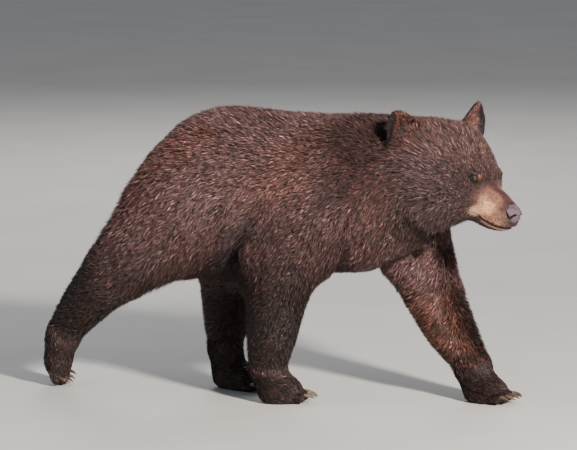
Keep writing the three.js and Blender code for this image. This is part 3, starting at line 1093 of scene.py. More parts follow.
class Coat:
    """What grows at each vertex of the skin: the lie, the length, the depth and the colour."""

    def __init__(self, mesh: bpy.types.Mesh, anatomy: Anatomy, skin: Skin) -> None:
        """Works out every field.

        Args:
            mesh: the skin.
            anatomy: the CAD nodes.
            skin: what it was built with.
        """
        self.surface = Surface(mesh)
        self.anatomy = anatomy
        self.mouth = skin.mouth
        self.sockets = skin.sockets
        self.at = anatomy.nodes_at(self.surface.points)
        self.place = HEAD.local(self.surface.points)
        self.shares: dict[tuple[str, ...], np.ndarray] = {}
        self.ear_front = self._ear_front()
        self.ear_rim = self._ear_rim()
        self.ear_root = self._ear_root()
        self.ear_base = self._ear_base()
        self.sole = self._sole()
        along, _, height = self.surface.points.T
        self.groin = bump(along, -0.27, 0.075) * ramp(height, 0.42, 0.34)
        self.groin *= self.share("trunk", "thigh_right")
        # the creases sink the skin and the tufts, and darken the colour as painted shade
        self.crease = creases(anatomy, self.at, self.surface, 30)
        self.lie, self.stand = LieOfTheCoat(self).field()
        self.length = self._length()
        self.depth = self.surface.spread(self.depth_at(anatomy, self.at, self.surface), 16)
        muzzle = self._muzzle()
        self.width = self._growth("width", 10) * (1 - 0.45 * muzzle)
        x, _, z = self.place.T
        ruff = ramp(z, -40, -80) * ramp(x, 40, 0) * self.share("head", "neck")
        self.clump = np.clip(self._growth("clump", 16) + 0.35 * ruff, 0, 0.85)
        self.scatter = self._growth("scatter", 10)
        self.density = self._density()
        free = self.share("ear") * (0.15 + 0.4 * self.ear_front) + 0.5 * self.ear_root
        self.free = np.clip(free + 0.6 * self.ear_base, 0, 1)
        self.variety = 1 - 0.6 * muzzle
        self.tint = Markings(Palette(), self).paint()

    def _growth(self, name: str, rounds: int) -> np.ndarray:
        """One figure of the growth at each vertex, run smoothly from node to node."""
        return self.surface.spread(self.anatomy.values(self.at, name), rounds)

    def share(self, *kinds: str) -> np.ndarray:
        """One on nodes of these names or kinds, zero elsewhere, and soft between them.

        Args:
            kinds: nodes or kinds of node.

        Returns:
            One number a vertex.
        """
        if kinds not in self.shares:
            hard = self.anatomy.share(self.at, *kinds)
            self.shares[kinds] = self.surface.spread(hard, 14)
        return self.shares[kinds]

    @staticmethod
    def depth_at(anatomy: Anatomy, at: np.ndarray, surface: Surface) -> np.ndarray:
        """How deep under the outline the skin lies, in millimetres.

        Args:
            anatomy: the CAD nodes.
            at: the node of each vertex.
            surface: the vertices.

        Returns:
            One number a vertex.
        """
        depth = anatomy.values(at, "depth")
        place = HEAD.local(surface.points)
        head = anatomy.share(at, "head", "jaw") > 0
        along = np.interp(place[:, 0], (-110, -60, -10, 40, 80, 110), (18, 13, 9, 6, 3.2, 2.2))
        jowl = 4 * ramp(place[:, 2], -50, -90) * ramp(place[:, 0], 30, -10)
        depth = np.where(head, along + jowl, depth)
        feet = anatomy.share(at, "front_paw", "hind_paw") > 0
        ground = ramp(surface.points[:, 2], 0.016, 0.004)
        return np.where(feet, depth * (1 - ground), depth)

    def _muzzle(self) -> np.ndarray:
        """One on the muzzle and round the eyes, fading to zero on the forehead and cheeks."""
        return self.share("head", "jaw") * ramp(self.place[:, 0], 40, 84)

    def _ear_front(self) -> np.ndarray:
        """One on the hollow side of an ear, and zero on its back.

        Returns:
            One number a vertex.
        """
        front = HEAD.turned([(0.95, 0.0, 0.1)])[0]
        facing = self.surface.normals @ front
        return self.surface.spread(ramp(facing, 0.0, 0.5), 3) * self.anatomy.share(self.at, "ear")

    def _ear_rim(self) -> np.ndarray:
        """One on the outer third of each ear, which gets painted shade in front as well.

        Returns:
            One number a vertex.
        """
        ear = self.anatomy.share(self.at, "ear") > 0
        out = np.abs(self.place[:, 1])
        low, high = np.quantile(out[ear], (0.02, 0.98))
        return ear * ramp(out, low + 0.62 * (high - low), low + 0.82 * (high - low))

    def _ear_root(self) -> np.ndarray:
        """One on the crown in front of each ear, where its long inner hair spreads."""
        away = mirrored(self.place) - (-92, 92, 58)
        return self.anatomy.share(self.at, "head") * ramp(np.linalg.norm(away, axis=1), 62, 26)

    def _ear_base(self) -> np.ndarray:
        """One on the crown along the inner side of each ear, where the hair climbs the ear.

        Returns:
            One number a vertex.
        """
        near = self.surface.spread(self.anatomy.share(self.at, "ear"), 60)
        inner = ramp(np.abs(self.place[:, 1]), 124, 106)
        return ramp(near, 0.02, 0.18) * self.anatomy.share(self.at, "head") * inner

    def _sole(self) -> np.ndarray:
        """One on the bare soles of the feet.

        Returns:
            One number a vertex.
        """
        sole = np.zeros(len(self.surface.points))
        for name in self.anatomy.names:
            if kind_of(name) not in ("front_paw", "hind_paw"):
                continue
            _, under = foot_ways(name)
            facing = self.surface.normals @ under
            sole = np.maximum(sole, self.anatomy.share(self.at, name) * ramp(facing, 0.45, 0.8))
        return self.surface.spread(sole, 3)

    def _length(self) -> np.ndarray:
        """How long tufts are, in millimetres.

        Returns:
            One number a vertex.
        """
        x, _, z = self.place.T
        length = self.anatomy.values(self.at, "length")
        head = self.anatomy.share(self.at, "head", "jaw") > 0
        along = np.interp(x, (-110, -60, -10, 40, 80, 110, 150), (30, 22, 15, 9, 6, 5, 4))
        ruff = 20 * ramp(z, -45, -90) * ramp(x, 30, -10)
        length = np.where(head, along + ruff + (22 - along) * self.ear_root, length)
        length = length + (32 - length) * self.ear_base
        length = np.where(self.anatomy.share(self.at, "ear") > 0, 9 + 7 * self.ear_front, length)
        return self.surface.spread(length + 18 * self.groin, 14)

    def _density(self) -> np.ndarray:
        """How many tufts grow on a square millimetre.

        Returns:
            One number a vertex.
        """
        spacing = self._growth("spacing", 10)
        spacing = spacing + (1.3 - spacing) * self._muzzle()
        lips = self.mouth.near(self.place) * bump(self.mouth.above(self.place), 0.2, 3.0)
        bare = np.maximum(self.sole, lips * self.share("head", "jaw"))
        for socket in self.sockets:
            eye = socket.local(self.surface.points)
            reach = np.hypot(eye[:, 0] / 1.35, eye[:, 1])
            bare = np.maximum(bare, (np.abs(eye[:, 2]) < socket.reach) * ramp(reach, 9.5, 7.2))
        bare = np.maximum(bare, ramp(from_nose(self.place, 21), 1.0, 0.93))
        return (1 - np.clip(bare, 0, 1)) / spacing**2


ON_ITS_TOES = 0.13  # a foot taller than this stands on its toes


def foot_ways(node: str) -> tuple[np.ndarray, np.ndarray]:
    """Which way a foot points, and which way its sole faces.

    Args:
        node: the foot's node.

    Returns:
        The way to the toes and the way out of the sole.
    """
    claws = [middle_of(node.replace("paw", "claw") + f"_{i}") for i in range(1, 6)]
    low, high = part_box(node)
    ankle = Vector(((low.x + high.x) / 2, (low.y + high.y) / 2, high.z))
    toes = sum(claws, Vector()) / len(claws) - ankle
    under = Vector((0, 0, -1))
    if high.z - low.z > ON_ITS_TOES:
        under = Vector((-1, 0, -0.45)).normalized()
    else:
        toes.z = 0
    return np.array(toes.normalized()), np.array(under)


class LieOfTheCoat:
    """Which way the hair points at each vertex: back from the nose, and down the legs."""

    def __init__(self, coat: Coat) -> None:
        """Keeps the coat's arrays.

        Args:
            coat: the coat, as far as it is worked out.
        """
        self.coat = coat
        self.points = coat.surface.points
        self.normals = coat.surface.normals

    def field(self) -> tuple[np.ndarray, np.ndarray]:
        """The lie along the skin and how far the hair stands off it.

        Returns:
            A unit direction along the skin and a number from 0 to 1, for each vertex.
        """
        coat = self.coat
        ways = np.zeros_like(self.points)
        rules: dict[str, Callable[[str], np.ndarray]] = {
            "trunk": self.trunk,
            "neck": self.neck,
            "tail": self.tail,
            "head": self.head,
            "jaw": self.head,
            "ear": self.ear,
            "upper_arm": self.upper_leg,
            "thigh": self.upper_leg,
            "forearm": self.lower_leg,
            "shank": self.lower_leg,
            "front_paw": self.paw,
            "hind_paw": self.paw,
        }
        for i, name in enumerate(coat.anatomy.names):
            here = coat.at == i
            ways[here] = unit(rules[kind_of(name)](name)[here])
        ways = coat.surface.spread(ways, 24)
        for _ in range(4):
            ways = unit(ways)
            out = (ways * self.normals).sum(1, keepdims=True)
            flat = ways - out * self.normals
            clear = np.linalg.norm(flat, axis=1)[:, None] > 0.2
            ways = coat.surface.spread(np.where(clear, unit(flat), flat), 3)
        out = (unit(ways) * self.normals).sum(1, keepdims=True)
        return unit(ways - out * self.normals), self._stand()

    def _stand(self) -> np.ndarray:
        """How far the hair stands off: behind the limbs and the rump, on the ruff and by the ears.

        Returns:
            A number from 0 to 1 for each vertex.
        """
        coat = self.coat
        back = np.clip(-self.normals[:, 0], 0, 1) ** 2
        limbs = coat.share("upper_arm", "forearm", "thigh", "shank")
        rump = coat.share("trunk", "tail") * ramp(self.points[:, 0], -0.35, -0.45)
        ruff = coat.share("head") * ramp(coat.place[:, 2], -60, -95)
        shin = np.clip(self.normals[:, 0], 0, 1) ** 2 * coat.share("forearm_left")
        ears = 0.6 * coat.ear_root + 0.9 * coat.ear_base
        return np.clip(back * (limbs + rump) + 0.7 * (ruff + shin + coat.groin) + ears, 0, 1)

    def _all(self, x: float | np.ndarray, y: float | np.ndarray, z: float | np.ndarray) -> np.ndarray:
        """Directions for every vertex from their parts."""
        count = len(self.points)
        return np.stack([np.broadcast_to(v, count) for v in (x, y, z)], 1).astype(float)

    def trunk(self, _: str) -> np.ndarray:
        """Back along the spine, steeper down the flanks and the rump.

        Returns:
            A direction for each vertex.
        """
        along, _, height = self.points.T
        fall = 0.06 + ramp(height, 0.66, 0.36) + 0.8 * ramp(along, -0.36, -0.52)
        breast = ramp(along, 0.20, 0.34) * ramp(height, 0.56, 0.44)
        return self._all(-1 + 0.5 * breast, 0, -fall - 0.4 * breast)

    def neck(self, _: str) -> np.ndarray:
        """Back and down from the head."""
        return self._all(-1, 0, -0.15 - 0.7 * ramp(self.points[:, 2], 0.64, 0.48))

    def tail(self, _: str) -> np.ndarray:
        """Down the tail."""
        return self._all(-0.35, 0, -1)

    def head(self, _: str) -> np.ndarray:
        """Back from the nose, and down over the jowls.

        Returns:
            A direction for each vertex.
        """
        place = self.coat.place
        away = place - (205, 0, -62)
        away[:, 1] *= 0.8
        away = unit(away)
        jowl = ramp(place[:, 2], -30, -75) * ramp(place[:, 0], 45, 0)
        away = away + jowl[:, None] * (-0.15, 0, -0.75)
        mirror = np.where(place[:, 1:2] > 0, (1, 1, 1), (1, -1, 1))
        away = blend(away, unit(place - mirror * (-72, 98, 36)), self.coat.ear_root)
        away = blend(away, unit(mirror * (-128, 124, 104) - place), self.coat.ear_base)
        return HEAD.turned(away)

    def ear(self, name: str) -> np.ndarray:
        """From the ear's root out to its edge."""
        away = unit(self.coat.place - ear_axes(name)[0])
        return HEAD.turned(away + (-0.1, 0.25 * Side.of(name).sign, 0.35))

    def upper_leg(self, name: str) -> np.ndarray:
        """Down and back over the shoulder or the thigh.

        Args:
            name: the limb's node.

        Returns:
            A direction for each vertex.
        """
        height = self.points[:, 2]
        down = 0.55 + 0.6 * ramp(height, 0.60, 0.40)
        if name == "thigh_right":
            down = 0.65 + 0.3 * ramp(height, 0.60, 0.45) - 0.35 * ramp(height, 0.36, 0.26)
        return self._all(-0.85, 0, -down)

    def lower_leg(self, name: str) -> np.ndarray:
        """Round the leg: back and down in front, and level or a little up behind.

        Args:
            name: the limb's node.

        Returns:
            A direction for each vertex.
        """
        upper, lower = axis_of(name)
        t = (upper[2] - self.points[:, 2:3]) / (upper[2] - lower[2])
        middle = upper + (lower - upper) * t
        run = unit((lower - upper)[None])[0]
        ahead = np.array((1.0, 0, 0)) - run[0] * run
        ahead /= np.linalg.norm(ahead)
        fore = np.clip(((self.points - middle) @ ahead) / 0.045, -1, 1)
        down = 0.45 + 0.5 * fore
        ways = -ahead[None] + run[None] * down[:, None]
        if name == "forearm_left":
            inner = ramp(self.normals[:, 1], 0.1, -0.4)
            fore_part = ramp(fore, 0.0, 0.35)
            ahead_down = ahead[None] * 0.55 + run[None] * 0.9
            ways = blend(ways, ahead_down, inner * fore_part)
        return ways

    def paw(self, name: str) -> np.ndarray:
        """Down over the foot to its toes."""
        toes, _ = foot_ways(name)
        return self._all(*(toes + (0, 0, -0.35)))


@dataclass(frozen=True)
class Region:
    """One piece of the coat: where it grows and what the record calls its finish."""

    name: str
    slot: Slot
    nodes: tuple[str, ...]
    parts: int = 1
    span: tuple[float, float] = (-FAR, FAR)  # how far along the head, in its own frame


MUZZLE_START = 60.0  # along the head

REGIONS: tuple[Region, ...] = (
    Region("coat_trunk", Slot.COAT, ("trunk", "tail"), 4),
    Region("coat_neck", Slot.COAT, ("neck",)),
    Region("coat_head", Slot.COAT, ("head", "jaw", "ear_right", "ear_left"), 2, (-FAR, MUZZLE_START)),
    Region("coat_muzzle", Slot.MUZZLE_COAT, ("head", "jaw"), 1, (MUZZLE_START, FAR)),
    Region("coat_upper_arm_right", Slot.COAT, ("upper_arm_right",)),
    Region("coat_upper_arm_left", Slot.COAT, ("upper_arm_left",)),
    Region("coat_thigh_right", Slot.COAT, ("thigh_right",)),
    Region("coat_thigh_left", Slot.COAT, ("thigh_left",)),
    Region("coat_fore_leg_right", Slot.LEG_COAT, ("forearm_right", "front_paw_right")),
    Region("coat_fore_leg_left", Slot.LEG_COAT, ("forearm_left", "front_paw_left")),
    Region("coat_hind_leg_right", Slot.LEG_COAT, ("shank_right", "hind_paw_right")),
    Region("coat_hind_leg_left", Slot.LEG_COAT, ("shank_left", "hind_paw_left")),
)


@dataclass
class Tufts:
    """Tapered strips of hair, as one joined mesh for each region."""

    coat: Coat
    steps: int = 2
    patch: float = 0.003  # the size of a tuft's place on the bake map
    widths: tuple[float, ...] = (0.75, 1.0)  # at each step, against the coat's own
    thickness: tuple[float, float] = (0.75, 1.25)  # from the thinnest to the thickest tuft
    leading: float = 0.30  # how many of the tufts others lean to
    pulls: tuple[float, float] = (0.5, 1.2)  # how much of the coat's clumping they lean by
    lock: tuple[float, float] = (0.016, 0.006)  # metres to the leader where leaning starts and is full
    reaches: tuple[float, float] = (0.62, 1.0)  # how much of its length a tuft runs
    heights: tuple[float, float] = (0.42, 1.05)  # how much of the coat's depth its tip rises
    lock_height: float = 0.09  # how much of the depth the tufts of a lock share
    stand_off: float = 0.42  # how much of its length a standing tuft rises besides
    swell: float = 1.7  # how soon it rises, as a power
    stray: float = 0.55  # its own straying, against the coat's scatter
    curl: float = 0.16  # radians over its length
    roll: float = 0.5  # radians about its own line
    sunk: float = 0.6 * MM  # how deep its root is under the skin
    floor: float = 0.3 * MM  # the lowest that it goes
    own_shade: tuple[float, float] = (-0.29, 0.75)  # mean and spread, as powers of e
    # a lock's shared tone: random, also painted light on raised locks, painted shade on sunk ones
    lock_shade: float = 0.12

    def __post_init__(self) -> None:
        """Follows the lie of the coat from every vertex, half a tuft at a time."""
        surface = self.coat.surface
        mesh = surface.mesh
        self.triangles = read(mesh.polygons, "vertices", 3, np.int32)
        first, second, third = (surface.points[self.triangles[:, i]] for i in range(3))
        self.areas = np.linalg.norm(np.cross(second - first, third - first), axis=1) / 2
        tree = BVHTree.FromPolygons(surface.points.tolist(), self.triangles.tolist())
        lies = unit(self.coat.lie[self.triangles].mean(1))
        normals = unit(surface.normals[self.triangles].mean(1))
        depths = self.coat.depth[self.triangles].mean(1)
        spots, ways, outs, deep = surface.points, self.coat.lie, surface.normals, self.coat.depth
        self.spots, self.outs, self.deep = [spots], [outs], [deep]
        stride = self.coat.length * MM / self.steps
        for _ in range(self.steps):
            ahead = spots + ways * stride[:, None]
            found = [tree.find_nearest(p) for p in ahead.tolist()]
            spots = np.array([f[0] for f in found])
            face = np.array([f[2] for f in found])
            ways, outs, deep = lies[face], normals[face], depths[face]
            self.spots.append(spots)
            self.outs.append(outs)
            self.deep.append(deep)

    def grow(self, region: Region) -> list[bpy.types.Object]:
        """Makes the pieces of one region.

        Args:
            region: where they grow.

        Returns:
            The new objects.
        """
        coat, first = self.coat, self.triangles[:, 0]
        here = np.isin(coat.at[first], [coat.anatomy.number(n) for n in region.nodes])
        ahead = coat.place[first, 0]
        start, end = region.span
        chosen = np.nonzero(here & (ahead >= start) & (ahead < end))[0]
        weight = self.areas[chosen] * coat.density[self.triangles[chosen]].mean(1) / MM**2
        order = np.argsort(coat.surface.points[first[chosen], 0])
        shares = np.cumsum(weight[order]) / weight.sum()
        pieces = []
        for part in range(region.parts):
            mine = order[(shares > part / region.parts) & (shares <= (part + 1) / region.parts)]
            name = region.name if region.parts == 1 else f"{region.name}_{part + 1}"
            pieces.append(self._piece(name, chosen[mine], weight[mine]))
        return pieces

    def _piece(self, name: str, faces: np.ndarray, weight: np.ndarray) -> bpy.types.Object:
        """One piece of coat.

        Args:
            name: the piece's name, which seeds it as well.
            faces: the skin's triangles that it grows from.
            weight: how many tufts grow on each.

        Returns:
            The new object.
        """
        rng = np.random.default_rng([SEED, *name.encode()])
        order = np.argsort(faces)
        faces, weight = faces[order], weight[order]
        total = np.cumsum(weight)
        count = int(total[-1])
        turns = (np.arange(count) + rng.uniform(0, 1, count)) * total[-1] / count
        picks = np.minimum(np.searchsorted(total, turns), len(faces) - 1)
        shares = rng.dirichlet((1, 1, 1), count)
        roots = np.einsum("ij,ijk->ik", shares, self._bake_map(faces)[picks])
        lines, sides, hair = self._lines(Mix(self.triangles[faces[picks]], shares), rng)
        return self._strips(name, lines, sides, hair, roots, rng)

    def _lines(
        self, mix: "Mix", rng: np.random.Generator
    ) -> tuple[np.ndarray, np.ndarray, dict[str, np.ndarray]]:
        """The middle lines of tufts, their sideways directions and what each one is like.

        Args:
            mix: where each tuft's root lies between the skin's vertices.
            rng: the piece's random numbers.

        Returns:
            Points and sideways directions for each tuft and step, and each tuft's own numbers.
        """
        coat, steps = self.coat, self.steps
        count = len(mix.corners)
        root = mix.of(coat.surface.points)
        length = mix.of(coat.length) * MM
        stand = mix.of(coat.stand)
        reach = rng.uniform(*self.reaches, count) * steps
        coherent = waves(root, 0.05, 11) * 0.6 + waves(root, 0.018, 12) * 0.5
        stray = mix.of(coat.scatter) * (coherent + rng.normal(0, self.stray, count))
        curl = rng.normal(0, self.curl, count)
        leader, pull = self._leaders(root, mix.of(coat.clump), rng)
        lock = rng.normal(0, 1, count)[leader]
        height = np.clip(rng.uniform(*self.heights, count) + self.lock_height * lock, 0.25, 1.25)
        height *= 1 - 0.5 * np.clip(mix.of(coat.crease), 0, 1)
        free = mix.of(coat.free)
        ahead = mix.of(coat.lie) * length[:, None]
        rows = np.arange(count)
        spots, around, deeps = (
            np.stack([mix.of(values) for values in followed], 1)
            for followed in (self.spots, self.outs, self.deep)
        )
        points = np.zeros((count, steps + 1, 3))
        outs = np.zeros((count, steps + 1, 3))
        for k in range(steps + 1):
            u = k / steps
            step = reach * u
            low = np.minimum(step.astype(int), steps - 1)
            part = step - low
            base = blend(spots[rows, low], spots[rows, low + 1], part)
            base = blend(base, root + ahead * (step / steps)[:, None], free)
            out = unit(blend(around[rows, low], around[rows, low + 1], part))
            deep = deeps[rows, low] * (1 - part) + deeps[rows, low + 1] * part
            rise = 1 - (1 - u) ** self.swell
            lift = deep * MM * height * rise + length * stand * self.stand_off * u**1.5
            lift -= self.sunk * (k == 0)
            points[:, k] = base + out * lift[:, None]
            outs[:, k] = out
        ways = np.gradient(points, axis=1)
        ways /= np.maximum(np.linalg.norm(ways, axis=2, keepdims=True), 1e-9)
        across = np.cross(outs, ways)
        across /= np.maximum(np.linalg.norm(across, axis=2, keepdims=True), 1e-9)
        along = np.linspace(0, 1, steps + 1)[None, :]
        run = length[:, None] * along * reach[:, None] / steps
        points += across * (run * (np.tan(stray)[:, None] + curl[:, None] * along))[:, :, None]
        toward = points[leader] - points
        points += toward * (pull[:, None] * along**1.3)[:, :, None]
        points[:, :, 2] = np.maximum(points[:, :, 2], self.floor)
        roll = rng.normal(0, self.roll, count)[:, None, None]
        sides = across * np.cos(roll) + outs * np.sin(roll)
        hair = {
            "width": mix.of(coat.width) * MM * rng.uniform(*self.thickness, count),
            "tint": mix.of(coat.tint) * self._shade(root, lock, mix.of(coat.variety), rng)[:, None],
        }
        return points, sides, hair

    def _leaders(
        self, root: np.ndarray, clump: np.ndarray, rng: np.random.Generator
    ) -> tuple[np.ndarray, np.ndarray]:
        """Who leads the locks.

        Args:
            root: the tufts' roots.
            clump: how far their tips are drawn together.
            rng: the piece's random numbers.

        Returns:
            The tuft that each one leans to, and how far from 0 to 1.
        """
        chosen = np.nonzero(rng.uniform(0, 1, len(root)) < self.leading)[0]
        tree = KDTree(len(chosen))
        for i in chosen.tolist():
            tree.insert(root[i], i)
        tree.balance()
        found = [tree.find(p) for p in root.tolist()]
        leader = np.array([f[1] for f in found])
        away = np.array([f[2] for f in found])
        pull = clump * rng.uniform(*self.pulls, len(root)) * ramp(away, *self.lock)
        return leader, np.clip(pull, 0, 0.9)

    def _shade(
        self, root: np.ndarray, lock: np.ndarray, variety: np.ndarray, rng: np.random.Generator
    ) -> np.ndarray:
        """How light tufts are.

        Args:
            root: their roots.
            lock: a number that the tufts of a lock share.
            variety: how much they differ from one another, from 0 to 1.
            rng: the piece's random numbers.

        Returns:
            What each one's tint is multiplied by, with a few pale ones.
        """
        own = rng.normal(*self.own_shade, len(root)) * variety
        broad = waves(root, 0.07, 21) * 0.06
        # the lock's part lightens raised locks and darkens sunk ones, as painted light and shade
        return np.exp(self.lock_shade * lock + own + broad)

    def _bake_map(self, faces: np.ndarray) -> np.ndarray:
        """An unwrap of the skin's own shape under a piece, filling the square.

        Args:
            faces: the skin's triangles under the piece.

        Returns:
            The map's place of each triangle's three corners.
        """
        used, corners = np.unique(self.triangles[faces], return_inverse=True)
        mesh = bpy.data.meshes.new("patch")
        mesh.from_pydata(self.coat.surface.points[used].tolist(), [], corners.reshape(-1, 3).tolist())
        thing = new_object("patch", mesh)
        bpy.context.view_layer.objects.active = thing
        thing.select_set(True)
        bpy.ops.object.mode_set(mode="EDIT")
        bpy.ops.mesh.select_all(action="SELECT")
        bpy.ops.uv.smart_project(angle_limit=1.15, island_margin=0.004, scale_to_bounds=True)
        bpy.ops.object.mode_set(mode="OBJECT")
        places = read(mesh.uv_layers.active.data, "uv", 2).reshape(-1, 3, 2)
        bpy.data.objects.remove(thing)
        bpy.data.meshes.remove(mesh)
        return places

    def _strips(
        self,
        name: str,
        lines: np.ndarray,
        sides: np.ndarray,
        hair: dict[str, np.ndarray],
        roots: np.ndarray,
        rng: np.random.Generator,
    ) -> bpy.types.Object:
        """The joined mesh of a piece's tufts.

        Args:
            name: the piece's name.
            lines: the tufts' middle lines.
            sides: their sideways directions.
            hair: each tuft's width and tint.
            roots: each root's place on the bake map.
            rng: the piece's random numbers.

        Returns:
            The new object.
        """
        count, steps = len(lines), self.steps
        half = hair["width"][:, None] * np.array(self.widths) / 2
        off = sides[:, :steps] * half[:, :, None]
        edges = np.stack([lines[:, :steps] - off, lines[:, :steps] + off], 2)
        points = np.concatenate([edges.reshape(count, 2 * steps, 3), lines[:, steps:]], 1)
        rungs = range(0, 2 * steps - 2, 2)
        faces = [(k, k + 1, k + 3) for k in rungs] + [(k, k + 3, k + 2) for k in rungs]
        faces.append((2 * steps - 2, 2 * steps - 1, 2 * steps))
        size = 2 * steps + 1
        table = (np.arange(count)[:, None, None] * size + np.array(faces)[None]).reshape(-1, 3)
        mesh = bpy.data.meshes.new(name)
        mesh.vertices.add(count * size)
        mesh.vertices.foreach_set("co", points.astype(np.float32).ravel())
        mesh.loops.add(table.size)
        mesh.loops.foreach_set("vertex_index", table.astype(np.int32).ravel())
        mesh.polygons.add(len(table))
        mesh.polygons.foreach_set("loop_start", np.arange(0, table.size, 3, dtype=np.int32))
        mesh.polygons.foreach_set("use_smooth", np.ones(len(table), bool))
        mesh.update(calc_edges=True)
        along = np.append(np.repeat(np.arange(steps), 2), steps) / steps
        across = np.append(np.tile([0.0, 1.0], steps), 0.5)
        write_number(mesh, "along", np.tile(along, count))
        write_number(mesh, "across", np.tile(across, count))
        write_number(mesh, "chance", np.repeat(rng.uniform(0, 1, count), size))
        write_tint(mesh, np.repeat(hair["tint"], size, axis=0))
        places = roots[:, None, :] + np.stack([across - 0.5, along], 1)[None] * self.patch
        places = np.clip(places.reshape(-1, 2), 0, 1)[table.ravel()]
        layer = mesh.uv_layers.new(name="OFBake")
        layer.data.foreach_set("uv", places.astype(np.float32).ravel())
        mesh.validate()
        log.info("%s: %d tufts, %d triangles", name, count, len(table))
        return new_object(name, mesh)


class Mix:
    """Values between the skin's vertices, at places inside its triangles."""

    def __init__(self, corners: np.ndarray, shares: np.ndarray) -> None:
        """Keeps each place's three vertices and their shares."""
        self.corners = corners
        self.shares = shares

    def of(self, values: np.ndarray) -> np.ndarray:
        """The values at the places.

        Args:
            values: a number or a row for each vertex of the skin.

        Returns:
            A number or a row for each place.
        """
        picked = values[self.corners]
        if picked.ndim == 2:
            return (picked * self.shares).sum(1)
        return np.einsum("ij,ijk->ik", self.shares, picked)


# ---- Finishes -----------------------------------------------------------------------------------


class Finish:
    """A material being wired."""

    def __init__(self, name: str) -> None:
        """Starts with one Principled shader.

        Args:
            name: the material's name.
        """
        self.material = bpy.data.materials.new(name)
        self.material.use_nodes = True
        self.tree = self.material.node_tree
        self.shader = self.tree.nodes["Principled BSDF"]

    def node(self, kind: str, **settings: object) -> bpy.types.Node:
        """A new node with its settings.

        Args:
            kind: the node's type.
            settings: its properties.

        Returns:
            The new node.
        """
        node = self.tree.nodes.new(kind)
        for name, value in settings.items():
            setattr(node, name, value)
        return node

    def link(self, source: bpy.types.NodeSocket, target: bpy.types.NodeSocket) -> None:
        """Joins two sockets."""
        self.tree.links.new(source, target)

    def shade(self, **values: float | tuple[float, ...]) -> None:
        """Sets the shader's own sockets, whose names have underscores for spaces."""
        for name, value in values.items():
            self.shader.inputs[name.replace("_", " ")].default_value = value

    def attribute(self, name: str) -> bpy.types.Node:
        """A node that reads one of the mesh's attributes."""
        return self.node("ShaderNodeAttribute", attribute_name=name)

    def noise(
        self, scale: float, detail: float = 3.0, place: bpy.types.NodeSocket | None = None
    ) -> bpy.types.NodeSocket:
        """A noise texture.

        Args:
            scale: how fine it is.
            detail: how many finer layers it has.
            place: where it is read, if not at the object's own coordinates.

        Returns:
            The noise's number.
        """
        noise = self.node("ShaderNodeTexNoise")
        noise.inputs["Scale"].default_value = scale
        noise.inputs["Detail"].default_value = detail
        place = place or self.node("ShaderNodeTexCoord").outputs["Object"]
        self.link(place, noise.inputs["Vector"])
        return noise.outputs["Fac"]

    def strands(
        self, across: bpy.types.NodeSocket, along: bpy.types.NodeSocket, chance: bpy.types.NodeSocket
    ) -> bpy.types.NodeSocket:
        """Noise drawn out along a tuft, so that it reads as several hairs.

        Args:
            across: the way across the tuft.
            along: the way along it.
            chance: the tuft's own number.

        Returns:
            The noise's number.
        """
        place = self.node("ShaderNodeCombineXYZ")
        self.link(self.span(across, 0.0, 5.0), place.inputs["X"])
        self.link(self.span(along, 0.0, 1.4), place.inputs["Y"])
        self.link(self.span(chance, 0.0, 700.0), place.inputs["Z"])
        return self.noise(1.0, 2.0, place.outputs["Vector"])

    def span(
        self,
        value: bpy.types.NodeSocket,
        low: float,
        high: float,
        start: float = 0.0,
        end: float = 1.0,
    ) -> bpy.types.NodeSocket:
        """A number moved from one span to another.

        Args:
            value: the number.
            low: what `start` becomes.
            high: what `end` becomes.
            start: where the first span starts.
            end: where the first span ends.

        Returns:
            The new number.
        """
        node = self.node("ShaderNodeMapRange")
        self.link(value, node.inputs["Value"])
        for name, number in zip(("From Min", "From Max", "To Min", "To Max"), (start, end, low, high)):
            node.inputs[name].default_value = number
        return node.outputs["Result"]

    def times(self, first: bpy.types.NodeSocket, second: bpy.types.NodeSocket) -> bpy.types.NodeSocket:
        """Two numbers multiplied.

        Args:
            first: one number.
            second: the other.

        Returns:
            The result's socket.
        """
        node = self.node("ShaderNodeMath", operation="MULTIPLY")
        self.link(first, node.inputs[0])
        self.link(second, node.inputs[1])
        return node.outputs[0]

    def dimmed(self, tint: bpy.types.NodeSocket, amount: bpy.types.NodeSocket) -> bpy.types.NodeSocket:
        """A colour multiplied by a number.

        Args:
            tint: the colour.
            amount: the number.

        Returns:
            The result's socket.
        """
        node = self.node("ShaderNodeVectorMath", operation="SCALE")
        self.link(tint, node.inputs[0])
        self.link(amount, node.inputs["Scale"])
        return node.outputs[0]

    def ramped(self, value: bpy.types.NodeSocket, *stops: tuple[float, str]) -> bpy.types.NodeSocket:
        """A number turned into a colour.

        Args:
            value: the number that is looked up.
            stops: places on the ramp and their colours.

        Returns:
            The colour's socket.
        """
        node = self.node("ShaderNodeValToRGB")
        elements = node.color_ramp.elements
        while len(elements) < len(stops):
            elements.new(0.5)
        for element, (place, code) in zip(elements, stops):
            element.position = place
            element.color = (*colour(code), 1)
        self.link(value, node.inputs["Fac"])
        return node.outputs["Color"]

    def raise_by(self, height: bpy.types.NodeSocket, distance: float) -> None:
        """Adds a bump to the shader.

        Args:
            height: the bump's height, from 0 to 1.
            distance: how high one is, in metres.
        """
        node = self.node("ShaderNodeBump")
        node.inputs["Distance"].default_value = distance
        node.inputs["Strength"].default_value = 1.0
        self.link(height, node.inputs["Height"])
        self.link(node.outputs["Normal"], self.shader.inputs["Normal"])


